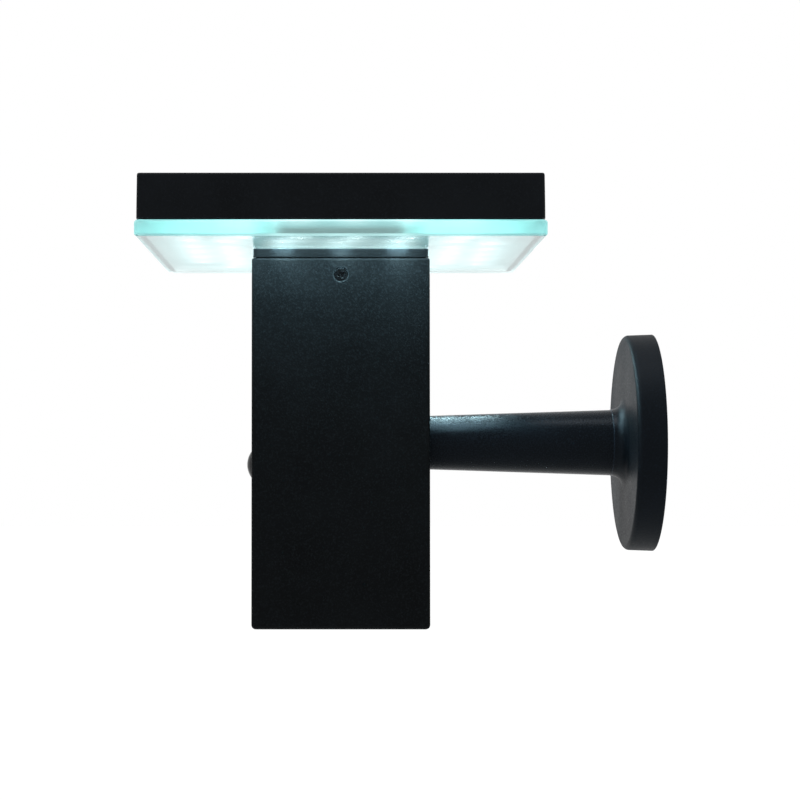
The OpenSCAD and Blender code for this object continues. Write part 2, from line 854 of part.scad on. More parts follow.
module diffuser_glass() {
  color("#c4ecec") at_column() difference() {
    translate([0, 0, z_glass])
      shaped_block() {
        round_block(glass_w, glass_corner_r, glass_t);
        bevelled_profile(glass_w, glass_t, glass_bevel);
      }
    translate([0, 0, z_glass - cut])
      round_block(glass_hole_w, spigot_corner_r + spigot_gap, glass_t + 2 * cut);
  }
}

// Neck

module neck_gasket() {
  color("#c8d2d4") at_column()
    translate([0, 0, z_neck_top])
      square_frame(neck_seal_w, glass_hole_w, inner_corner_r, neck_gasket_t);
}

module neck() {
  color("#1a1e21") at_column() difference() {
    union() {
      translate([0, 0, z_neck]) round_block(neck_w, col_edge_r, neck_h);
      translate([0, 0, z_neck_top - neck_h / 2])
        square_frame(
          spigot_w, spigot_w - 2 * spigot_wall, spigot_corner_r, z_housing - z_neck_top + neck_h / 2
        );
      translate([0, 0, z_neck_top - neck_h / 2])
        at_corners(neck_screw_at) cylinder(d = neck_boss_d, h = z_housing - z_neck_top + neck_h / 2);
      translate([0, 0, z_plug])
        square_frame(plug_w, plug_w - 2 * plug_wall, inner_corner_r, plug_h + neck_h / 2);
      for (side = [-1, 1]) {
        translate([0, side * (plug_w / 2 - plug_wall / 2), z_plug])
          rotate([0, 0, side > 0 ? 180 : 0])
            translate([-screw_block_w / 2, 0, 0])
              cube([screw_block_w, screw_block_t - plug_wall / 2, plug_h + neck_h / 2]);
        translate([0, side * frame_screw_at, z_plug])
          cylinder(d = frame_screw_d + 2 * frame_boss_wall, h = plug_h + neck_h / 2);
      }
    }
    translate([0, 0, z_plug - cut])
      at_corners(neck_screw_at)
        cylinder(d = neck_screw_d + 2 * hole_fit, h = z_housing - z_plug + 2 * cut);
    translate([0, 0, z_neck - cut]) cylinder(d = grommet_bore, h = neck_h + 2 * cut);
    for (side = [-1, 1]) {
      translate([0, side * frame_screw_at, z_plug - cut])
        cylinder(d = frame_screw_d + 2 * thread_fit, h = frame_screw_len - frame_t + hole_extra + cut);
      translate([0, side * col_w / 2, col_above - body_screw_drop])
        rotate([side * 90, 0, 0])
          cylinder(d = body_screw_d + 2 * thread_fit, h = body_screw_len + hole_extra);
    }
  }
}

module neck_screws() {
  color("#b0b4b8") at_column()
    translate([0, 0, z_neck])
      at_corners(neck_screw_at)
        rotate([180, 0, 0]) socket_screw(neck_screw_d, neck_head_d, neck_head_h, neck_screw_len);
}

module wire_grommet() {
  lip_d = grommet_bore + 2 * grommet_lip_w;
  color("#2a2a2a") at_column() difference() {
    union() {
      translate([0, 0, z_neck]) cylinder(d = grommet_bore - 2 * thread_fit, h = neck_h);
      translate([0, 0, z_neck_top]) cylinder(d = lip_d, h = grommet_lip_t);
      translate([0, 0, z_neck - grommet_lip_t]) cylinder(d = lip_d, h = grommet_lip_t);
    }
    translate([0, 0, z_neck - grommet_lip_t - cut])
      cylinder(d = grommet_hole, h = neck_h + 2 * grommet_lip_t + 2 * cut);
  }
}

// Column

module shell_screw_holes() {
  for (side = [-1, 1]) {
    translate([0, side * col_w / 2, col_above - body_screw_drop]) rotate([-side * 90, 0, 0]) {
      depth = (body_screw_head - body_screw_d) / 2;
      translate([0, 0, -col_wall - cut])
        cylinder(d = body_screw_d + 2 * hole_fit, h = col_wall + 2 * cut);
      translate([0, 0, -depth])
        cylinder(d1 = body_screw_d + 2 * thread_fit, d2 = body_screw_head + 2 * thread_fit, h = depth);
      cylinder(d = body_screw_head + 2 * thread_fit, h = cut);
    }
  }
}

module arm_screw_places() {
  for (turn = [90, 210, 330]) {
    rotate([turn, 0, 0]) translate([0, arm_screw_pcd / 2, 0]) children();
  }
}

module body_shell() {
  color("#14171a") at_column() difference() {
    translate([0, 0, z_floor])
      shaped_block() {
        round_block(col_w, col_edge_r, col_above + col_below);
        upright_profile(col_w, col_above + col_below, col_bottom_r, col_top_r);
      }
    translate([0, 0, z_floor_top]) round_block(col_inner, col_inner_r, col_above + col_below);
    shell_screw_holes();
    translate([-col_w / 2 - cut, 0, -pir_drop]) along_x() {
      cylinder(d = lens_d + 2 * lens_gap, h = lens_rim_t + lens_seal_t + cut);
      cylinder(d = lens_d - 2 * lens_seat_w, h = col_wall + 2 * cut);
    }
    translate([col_w / 2 - col_wall - cut, 0, 0])
      arm_screw_places() along_x() cylinder(d = arm_screw_d + 2 * hole_fit, h = col_wall + 2 * cut);
    translate([0, 0, z_floor - cut]) {
      cylinder(d = bezel_d + 2 * hole_fit, h = bezel_t + switch_seal_t + cut);
      cylinder(d = barrel_d + 2 * hole_fit, h = col_floor + 2 * cut);
    }
  }
}

module body_gasket() {
  color("#0a0c0d") at_column()
    translate([0, 0, col_above])
      square_frame(neck_seal_w, plug_w + plug_gap, inner_corner_r, body_gasket_t);
}

module body_screws() {
  color("#3c4044") at_column()
    for (side = [-1, 1]) {
      translate([0, side * col_w / 2, col_above - body_screw_drop])
        rotate([-side * 90, 0, 0]) countersunk_screw(body_screw_d, body_screw_head, body_screw_len);
    }
}

// Part of the lens's ball that lies over the column's face, or its hollow
module lens_ball(r, centre, reach_r, low) {
  intersection() {
    translate([0, 0, centre]) rotate([90, 0, 0]) sphere(r);
    translate([0, 0, low]) cylinder(r = reach_r, h = lens_rise - low + cut);
  }
}

module pir_lens() {
  ball_r = (pow(lens_d / 2, 2) + pow(lens_rise, 2)) / (2 * lens_rise);
  collar_r = lens_d / 2 - lens_seat_w - lens_gap;
  color("#2b2f33") at_column()
    translate([-col_w / 2, 0, -pir_drop]) rotate([0, -90, 0]) difference() {
      union() {
        lens_ball(ball_r, lens_rise - ball_r, lens_d, 0);
        translate([0, 0, -lens_rim_t]) cylinder(r = lens_d / 2 - lens_gap, h = lens_rim_t);
        translate([0, 0, -col_wall]) cylinder(r = collar_r, h = col_wall);
      }
      lens_ball(ball_r - lens_wall, lens_rise - ball_r, collar_r - lens_wall, -col_wall - cut);
    }
}

module pir_seal() {
  color("#202020") at_column()
    translate([-col_w / 2 + lens_rim_t, 0, -pir_drop]) along_x() difference() {
      cylinder(d = lens_d, h = lens_seal_t);
      translate([0, 0, -cut]) cylinder(d = lens_d - 2 * lens_seat_w, h = lens_seal_t + 2 * cut);
    }
}

module pir_sensor() {
  color("#c4b47a") at_column()
    translate([board_face, 0, -pir_drop]) rotate([0, -90, 0]) {
      cylinder(d = can_d + 2 * socket_rim, h = socket_h);
      translate([0, 0, socket_h]) cylinder(d = can_d, h = can_h);
    }
}

// Frame and board

module board_screw_places() {
  for (y = [-1, 1], z = [-1, 1]) {
    translate([0, y * board_screw_y, z_board + z * board_screw_z]) children();
  }
}

module holder_screw_places() {
  for (z = [-1, 1]) translate([0, 0, z_batt + z * holder_screw_at]) children();
}

module inner_frame() {
  color("#d8d8d2") at_column() difference() {
    union() {
      translate([frame_x - frame_t, -frame_w / 2, z_frame_flange])
        cube([2 * (frame_at + frame_t), frame_w, frame_t]);
      translate([frame_x - frame_t, -frame_w / 2, z_frame])
        cube([frame_t, frame_w, z_frame_top - z_frame]);
      board_screw_places()
        translate([board_x, 0, 0]) along_x() cylinder(d = standoff_d, h = standoff_h + frame_t / 2);
      holder_screw_places()
        translate([frame_x - frame_t - holder_boss_h, 0, 0])
          along_x() cylinder(d = standoff_d, h = holder_boss_h + frame_t / 2);
      for (side = [-1, 1]) {
        translate([frame_x - frame_t / 2, side * (frame_w - gusset_t) / 2, z_frame_flange + frame_t / 2])
          rotate([90, 0, 0])
            linear_extrude(gusset_t, center = true)
              polygon([[0, 0], [0, -gusset_h], [gusset_l, 0]]);
      }
    }
    translate([frame_x - frame_t - cut, -lead_notch_w / 2, z_frame_flange - lead_notch_h])
      cube([frame_t + 2 * cut, lead_notch_w, lead_notch_h]);
    translate([0, 0, z_frame_flange - cut]) cylinder(d = grommet_bore, h = frame_t + 2 * cut);
    for (side = [-1, 1]) {
      translate([0, side * frame_screw_at, z_frame_flange - cut])
        cylinder(d = frame_screw_d + 2 * hole_fit, h = frame_t + 2 * cut);
    }
    board_screw_places()
      translate([board_x - cut, 0, 0]) along_x()
        cylinder(d = small_screw_d + 2 * thread_fit, h = small_screw_len - board_t + hole_extra + cut);
    holder_screw_places()
      translate([frame_x - frame_t - holder_boss_h - cut, 0, 0]) along_x()
        cylinder(d = small_screw_d + 2 * thread_fit, h = holder_boss_h + frame_t + 2 * cut);
  }
}

module frame_screws() {
  color("#b0b4b8") at_column()
    for (side = [-1, 1]) {
      translate([0, side * frame_screw_at, z_frame_flange])
        rotate([180, 0, 0])
          socket_screw(frame_screw_d, frame_head_d, frame_head_h, frame_screw_len);
    }
}

module control_board() {
  color("#1f6b3a") at_column() difference() {
    translate([board_face, -board_w / 2, z_board - board_h / 2]) cube([board_t, board_w, board_h]);
    board_screw_places()
      translate([board_face - cut, 0, 0]) along_x()
        cylinder(d = small_screw_d + 2 * hole_fit, h = board_t + 2 * cut);
  }
}

module board_screws() {
  color("#b0b4b8") at_column()
    board_screw_places()
      translate([board_face, 0, 0]) rotate([0, -90, 0])
        socket_screw(small_screw_d, small_head_d, small_head_h, small_screw_len);
}

// Block that stands on the board's face, with its middle at the given place
module on_board(y, z, size) {
  translate([-size[0], y - size[1] / 2, z - size[2] / 2]) cube(size);
}

module board_components() {
  color("#26282b") at_column() translate([board_face, 0, z_board]) {
    on_board(-chip_at, chip_rise, [chip_t, chip_l, chip_w]);
    on_board(chip_at, chip_rise, [chip_t, charger_w, charger_w]);
    on_board(-coil_at, 0, [fet_t, fet_w, fet_l]);
    on_board(coil_at, 0, [coil_h, coil_w, coil_w]);
    for (i = [-1 : 1]) {
      translate([0, i * cap_pitch, -cap_drop]) rotate([0, -90, 0]) cylinder(d = cap_d, h = cap_h);
    }
    for (i = [0 : 5]) on_board((i - 2.5) * res_pitch, res_rise, [res_h, res_l, res_w]);
  }
}

// One connector with its leads' side at the given height, opening up or down
module connector(y, z_mouth, way) {
  translate([board_face - conn_d, y - conn_w / 2, way > 0 ? z_mouth - conn_h : z_mouth])
    cube([conn_d, conn_w, conn_h]);
}

module board_connectors() {
  color("#f0f0ea") at_column()
    for (side = [-1, 1]) {
      connector(side * conn_at, z_conn_top, 1);
      connector(side * conn_at, z_conn_low, -1);
    }
}

// Battery

module battery_holder() {
  color("#202326") at_column() difference() {
    translate([frame_x, -holder_y, z_holder]) cube([holder_depth, 2 * holder_y, holder_h]);
    translate([frame_x + holder_wall, -holder_y + holder_wall, z_holder + holder_wall])
      cube([holder_depth, 2 * (holder_y - holder_wall), holder_in]);
    translate([frame_x + holder_sill, -holder_y - cut, z_holder + holder_window_in])
      cube([holder_depth, 2 * (holder_y + cut), holder_h - 2 * holder_window_in]);
    holder_screw_places()
      translate([frame_x - cut, 0, 0]) along_x() {
        cylinder(d = small_screw_d + 2 * hole_fit, h = holder_wall + 2 * cut);
        translate([0, 0, cut + holder_wall - (small_head_d - small_screw_d) / 2])
          cylinder(
            d1 = small_screw_d + 2 * thread_fit,
            d2 = small_head_d + 2 * thread_fit,
            h = (small_head_d - small_screw_d) / 2
          );
      }
    for (side = [-1, 1]) {
      translate([batt_x, side * batt_y, z_holder - cut])
        cylinder(d = lead_d + 2 * lead_hole_fit, h = holder_wall + 2 * cut);
    }
  }
}

module holder_screws() {
  color("#b0b4b8") at_column()
    holder_screw_places()
      translate([frame_x + holder_wall, 0, 0]) along_x()
        countersunk_screw(small_screw_d, small_head_d, small_screw_len);
}

module battery_cells() {
  color("#2f6fae") at_column()
    for (side = [-1, 1]) {
      translate([batt_x, side * batt_y, z_cells]) {
        cylinder(d = batt_d, h = batt_l - batt_button_h);
        cylinder(d = batt_button_d, h = batt_l);
      }
    }
}

module battery_contacts() {
  color("#c8b878") at_column() {
    translate([batt_x - contact_w / 2, -batt_y - contact_w / 2, z_cells + batt_l])
      cube([contact_w, 2 * batt_y + contact_w, contact_t]);
    for (side = [-1, 1]) {
      translate([batt_x, side * batt_y + contact_w / 2, z_holder + holder_wall])
        rotate([90, 0, 0])
          linear_extrude(contact_w)
            polygon([
              [-contact_w / 2, 0], [contact_w / 2, 0],
              [contact_w / 2, contact_t],
              [-contact_w / 2 + 2 * contact_t, contact_t],
              [contact_w / 2, contact_h - contact_t], [contact_w / 2, contact_h],
              [contact_w / 2 - 2 * contact_t, contact_h],
              [-contact_w / 2, contact_t]
            ]);
    }
  }
}

// Switch

module switch_body() {
  color("#1c1f22") at_column() difference() {
    union() {
      translate([0, 0, z_floor]) cylinder(d = bezel_d, h = bezel_t);
      translate([0, 0, z_floor]) cylinder(d = barrel_d, h = switch_h);
    }
    translate([0, 0, z_floor - cut]) cylinder(d = stem_bore, h = switch_h);
    translate([0, 0, z_collar]) cylinder(d = chamber_d, h = switch_h);
  }
}

module switch_button() {
  color("#33383c") at_column() {
    translate([0, 0, z_floor + button_setback])
      cylinder(d = button_d, h = z_collar_top - z_floor - button_setback);
    translate([0, 0, z_collar]) cylinder(d = collar_d, h = collar_t);
    translate([0, 0, z_collar])
      cylinder(d = post_d, h = z_base - z_collar - button_travel - post_gap);
  }
}

// Points of a ring of the spring's wire, square to the coil at the given turn
function spring_ring(i) =
  let (
    share = i / (spring_steps * spring_turns),
    turn = 360 * i / spring_steps,
    r = spring_d / 2
  )
  [for (k = [0 : spring_sides - 1])
    let (
      a = 360 * k / spring_sides,
      out = r + spring_wire_d / 2 * cos(a)
    )
    [out * cos(turn), out * sin(turn), spring_low + spring_rise * share + spring_wire_d / 2 * sin(a)]
  ];

module switch_spring() {
  rings = spring_steps * spring_turns;
  n = spring_sides;
  points = [for (i = [0 : rings]) each spring_ring(i)];
  walls = [for (i = [0 : rings - 1], k = [0 : n - 1])
    each [
      [i * n + k, (i + 1) * n + k, i * n + (k + 1) % n],
      [i * n + (k + 1) % n, (i + 1) * n + k, (i + 1) * n + (k + 1) % n]
    ]
  ];
  start = [for (k = [0 : n - 1]) k];
  end = [for (k = [n - 1 : -1 : 0]) rings * n + k];
  color("#c0c4c8") at_column() polyhedron(points, concat([start], walls, [end]));
}

module switch_seal() {
  color("#202020") at_column() translate([0, 0, z_bezel_top]) difference() {
    cylinder(d = bezel_d, h = switch_seal_t);
    translate([0, 0, -cut]) cylinder(d = barrel_d, h = switch_seal_t + 2 * cut);
  }
}

module switch_nut() {
  color("#a8acb0") at_column() translate([0, 0, z_floor_top]) difference() {
    cylinder(d = barrel_d + 2 * nut_wall, h = nut_t, $fn = 6);
    translate([0, 0, -cut]) cylinder(d = barrel_d + 2 * thread_fit, h = nut_t + 2 * cut);
  }
}

module terminal_places() {
  for (side = [-1, 1]) translate([side * terminal_at, 0, 0]) children();
}

module switch_base() {
  color("#7a5a38") at_column() translate([0, 0, z_base]) difference() {
    cylinder(d = chamber_d - 2 * thread_fit, h = switch_base_t);
    terminal_places()
      translate([-terminal_t / 2 - thread_fit, -terminal_w / 2 - thread_fit, -cut])
        cube([terminal_t + 2 * thread_fit, terminal_w + 2 * thread_fit, switch_base_t + 2 * cut]);
  }
}

module switch_terminals() {
  color("#c8b878") at_column()
    terminal_places()
      translate([-terminal_t / 2, -terminal_w / 2, z_base])
        cube([terminal_t, terminal_w, switch_base_t + terminal_h]);
}

// Leads, in the order from the head down to the board

// Lead that comes down the middle, passes the frame's notch and ends in a connector at the board's top
module head_lead(start, x, y, side, outer) {
  x_turn = conn_mid + (outer ? 1 : -1) * half_pitch;
  y_end = side * (conn_at + (outer ? 1 : -1) * half_pitch);
  lead(concat(start, [
    [x, y, z_top_turn], [x_turn, y, z_top_turn], [x_turn, y_end, z_top_turn], [x_turn, y_end, z_conn_top]
  ]));
}

module led_leads() {
  z = z_led_board_top + led_conn_h / 2;
  y_start = led_conn_at - led_conn_w / 2;
  color("#c02020") at_column() {
    head_lead([[half_pitch, y_start, z], [half_pitch, 3 * half_pitch, z]], half_pitch, 3 * half_pitch, 1, true);
    head_lead([[-half_pitch, y_start, z], [-half_pitch, half_pitch, z]], -half_pitch, half_pitch, 1, false);
  }
}

module panel_leads() {
  color("#c02020") at_column() {
    head_lead([[half_pitch, -half_pitch, z_backsheet]], half_pitch, -half_pitch, -1, false);
    head_lead([[-half_pitch, -3 * half_pitch, z_backsheet]], -half_pitch, -3 * half_pitch, -1, true);
  }
}

module battery_leads() {
  z_start = z_holder + holder_wall;
  z_cross = (z_holder + z_low_turn) / 2;
  color("#c02020") at_column() {
    lead([
      [batt_x, batt_y, z_start], [batt_x, batt_y, z_low_turn],
      [conn_mid + half_pitch, batt_y, z_low_turn], [conn_mid + half_pitch, batt_y, z_conn_low]
    ]);
    lead([
      [batt_x, -batt_y, z_start], [batt_x, -batt_y, z_cross],
      [batt_x, batt_y - lead_pitch, z_cross], [batt_x, batt_y - lead_pitch, z_low_turn],
      [conn_mid - half_pitch, batt_y - lead_pitch, z_low_turn],
      [conn_mid - half_pitch, batt_y - lead_pitch, z_conn_low]
    ]);
  }
}

module switch_leads() {
  color("#c02020") at_column() {
    lead([
      [-terminal_at, 0, z_terminal_top], [-terminal_at, 0, z_low_turn - lead_pitch],
      [conn_mid + half_pitch, 0, z_low_turn - lead_pitch],
      [conn_mid + half_pitch, -conn_at + half_pitch, z_low_turn - lead_pitch],
      [conn_mid + half_pitch, -conn_at + half_pitch, z_conn_low]
    ]);
    lead([
      [terminal_at, 0, z_terminal_top], [terminal_at, 0, z_low_turn],
      [conn_mid - half_pitch, 0, z_low_turn],
      [conn_mid - half_pitch, -conn_at - half_pitch, z_low_turn],
      [conn_mid - half_pitch, -conn_at - half_pitch, z_conn_low]
    ]);
  }
}

// Arm and wall side

// Half section of the arm and its flange, with the radius along X and the length from the column along Y
module arm_half_section() {
  slope = (arm_root_d - arm_d) / 2 / arm_len;
  front_r = flange_r - flange_t * tan(flange_draft);
  n = [cos(flange_draft), -sin(flange_draft)];
  edge_x = (flange_r * n[0] + arm_total * n[1] - flange_edge_r - (arm_len + flange_edge_r) * n[1]) / n[0];
  edge = [edge_x, arm_len + flange_edge_r];
  polygon([
    [0, 0], [arm_d / 2, 0], [arm_root_d / 2 + slope * cut, arm_len + cut], [0, arm_len + cut]
  ]);
  polygon([[0, arm_len], [edge[0], arm_len], edge + flange_edge_r * n, [flange_r, arm_total], [0, arm_total]]);
  translate(edge) circle(flange_edge_r);
  difference() {
    translate([0, arm_len - root_r]) square([arm_root_d / 2 + root_r, root_r + cut / 2]);
    translate([arm_root_d / 2 + root_r, arm_len - root_r]) circle(root_r);
  }
}

module arm() {
  seal_r = arm_d / 2 - arm_seal_in;
  color("#16191c") translate([-arm_total, 0, 0]) difference() {
    along_x() rotate_extrude() arm_half_section();
    along_x() {
      translate([0, 0, arm_len + flange_face_t]) cylinder(r = cup_r, h = cup_depth + cut);
      translate([0, 0, arm_end_t])
        cylinder(
          d1 = arm_core_d - 2 * arm_core_taper,
          d2 = arm_core_d,
          h = arm_len + flange_face_t - arm_end_t + cut
        );
      translate([0, 0, -cut]) difference() {
        cylinder(r = seal_r, h = arm_seal_t + cut);
        translate([0, 0, -cut]) cylinder(r = seal_r - arm_seal_w, h = arm_seal_t + 4 * cut);
      }
      translate([0, 0, arm_total - wall_seal_t]) difference() {
        cylinder(r = cup_r + flange_wall / 2 + wall_seal_w / 2, h = wall_seal_t + cut);
        translate([0, 0, -cut])
          cylinder(r = cup_r + flange_wall / 2 - wall_seal_w / 2, h = wall_seal_t + 3 * cut);
      }
    }
    arm_screw_places()
      translate([-cut, 0, 0]) along_x()
        cylinder(d = arm_screw_d + 2 * thread_fit, h = arm_screw_grip + hole_extra + cut);
    translate([arm_total - grub_at, 0, -flange_r - cut])
      cylinder(d = grub_d + 2 * thread_fit, h = flange_wall + 2 * cut);
  }
}

module arm_screws() {
  color("#b0b4b8") at_column()
    translate([col_w / 2 - col_wall - washer_t, 0, 0])
      arm_screw_places()
        rotate([0, -90, 0])
          socket_screw(arm_screw_d, arm_head_d, arm_head_h, arm_screw_grip + col_wall + washer_t);
}

module arm_washers() {
  color("#c0c4c8") at_column()
    translate([col_w / 2 - col_wall - washer_t, 0, 0])
      arm_screw_places() along_x() difference() {
        cylinder(d = washer_d, h = washer_t);
        translate([0, 0, -cut]) cylinder(d = arm_screw_d + 2 * hole_fit, h = washer_t + 2 * cut);
      }
}

module arm_seal() {
  seal_r = arm_d / 2 - arm_seal_in;
  color("#202020") translate([-arm_total, 0, 0]) along_x() difference() {
    cylinder(r = seal_r, h = arm_seal_t);
    translate([0, 0, -cut]) cylinder(r = seal_r - arm_seal_w, h = arm_seal_t + 2 * cut);
  }
}

module wall_bracket() {
  color("#9a9ea2") difference() {
    translate([-bracket_h, 0, 0]) along_x() difference() {
      cylinder(r = bracket_r, h = bracket_h);
      translate([0, 0, -cut]) cylinder(r = bracket_r - bracket_rim_t, h = bracket_h - bracket_t + cut);
    }
    translate([-bracket_h - cut, 0, 0]) along_x()
      cylinder(d = bracket_hole_d, h = bracket_h + 2 * cut);
    for (i = [0 : wall_screw_n - 1]) {
      rotate([360 * i / wall_screw_n, 0, 0])
        translate([-bracket_h - cut, 0, wall_screw_pcd / 2]) along_x()
          cylinder(d = wall_screw_d, h = bracket_h + 2 * cut);
    }
    translate([-grub_at, 0, 0])
      along_x()
        rotate([0, 0, -groove_half])
          rotate_extrude(angle = 2 * groove_half)
            translate([groove_r, -grub_tip_d / 2 - groove_gap])
              square([groove_depth + cut, grub_tip_d + 2 * groove_gap]);
  }
}

module grub_screw() {
  color("#3c4044")
    translate([-grub_at, 0, -tip_r]) rotate([180, 0, 0]) difference() {
      union() {
        cylinder(d = grub_tip_d, h = grub_len);
        translate([0, 0, cup_r - tip_r]) cylinder(d = grub_d, h = grub_len - (cup_r - tip_r));
      }
      translate([0, 0, grub_len - grub_socket_h])
        cylinder(d = grub_d / 2, h = grub_socket_h + cut, $fn = 6);
    }
}

module wall_gasket() {
  color("#262626") translate([-wall_seal_t, 0, 0]) along_x() difference() {
    cylinder(r = cup_r + flange_wall / 2 + wall_seal_w / 2, h = wall_seal_t);
    translate([0, 0, -cut])
      cylinder(r = cup_r + flange_wall / 2 - wall_seal_w / 2, h = wall_seal_t + 2 * cut);
  }
}

head_housing();
solar_cover_glass();
solar_cells();
cell_ribbons();
solar_backsheet();
panel_adhesive();
glass_gasket();
led_board();
leds();
led_board_screws();
led_connector();
diffuser_glass();
neck_gasket();
neck();
neck_screws();
wire_grommet();
body_shell();
body_gasket();
body_screws();
inner_frame();
frame_screws();
control_board();
board_components();
board_connectors();
board_screws();
pir_sensor();
pir_lens();
pir_seal();
battery_holder();
battery_cells();
battery_contacts();
holder_screws();
switch_body();
switch_button();
switch_spring();
switch_seal();
switch_nut();
switch_base();
switch_terminals();
panel_leads();
led_leads();
battery_leads();
switch_leads();
arm();
arm_screws();
arm_washers();
arm_seal();
wall_bracket();
grub_screw();
wall_gasket();
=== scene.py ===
"""Looks of a solar wall light: a square lamp head on a box column, one arm and a round wall flange.

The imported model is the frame. Its nodes stay where they are and get their finishes here, and the pieces that
need more detail than a solid has are made anew. All lengths are in metres.
"""

import json
import logging
import math
from dataclasses import dataclass, field
from enum import Enum
from typing import Union

import bpy
import numpy as np
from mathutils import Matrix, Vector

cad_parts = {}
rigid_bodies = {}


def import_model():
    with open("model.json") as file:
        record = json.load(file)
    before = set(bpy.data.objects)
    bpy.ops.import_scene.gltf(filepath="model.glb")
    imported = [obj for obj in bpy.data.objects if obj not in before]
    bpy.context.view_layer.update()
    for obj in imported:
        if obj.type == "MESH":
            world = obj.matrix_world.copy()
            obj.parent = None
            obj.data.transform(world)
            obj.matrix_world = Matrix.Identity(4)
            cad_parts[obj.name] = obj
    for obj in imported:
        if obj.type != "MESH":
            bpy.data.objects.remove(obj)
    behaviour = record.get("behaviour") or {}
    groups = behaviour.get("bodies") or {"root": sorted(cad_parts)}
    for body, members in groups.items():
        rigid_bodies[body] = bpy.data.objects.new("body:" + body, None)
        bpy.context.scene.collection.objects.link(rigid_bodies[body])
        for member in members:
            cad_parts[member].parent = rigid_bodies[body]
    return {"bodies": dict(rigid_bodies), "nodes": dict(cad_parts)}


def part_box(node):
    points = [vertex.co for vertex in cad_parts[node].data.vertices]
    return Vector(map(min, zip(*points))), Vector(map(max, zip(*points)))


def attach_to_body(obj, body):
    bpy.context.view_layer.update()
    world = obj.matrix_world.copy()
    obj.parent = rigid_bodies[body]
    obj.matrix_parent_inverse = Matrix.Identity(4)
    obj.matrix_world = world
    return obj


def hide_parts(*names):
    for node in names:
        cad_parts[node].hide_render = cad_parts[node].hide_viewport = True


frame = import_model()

LOG = logging.getLogger("wall_light")
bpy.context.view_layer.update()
MM = 0.001

Array = np.ndarray
Pair = tuple[float, float]
Triple = tuple[float, float, float]
Colour = Triple
Socket = bpy.types.NodeSocket
Value = Union[Socket, float, Colour]

LAMP_LIGHT: Colour = (0.6, 0.92, 1.0)
LAMP_BODY = "lamp"


class Lay(Enum):
    """The direction that a metal surface is worked in, as the stretch of its grain."""

    EVEN = (1.0, 1.0, 1.0)
    ALONG_X = (0.05, 1.0, 1.0)


# Node trees


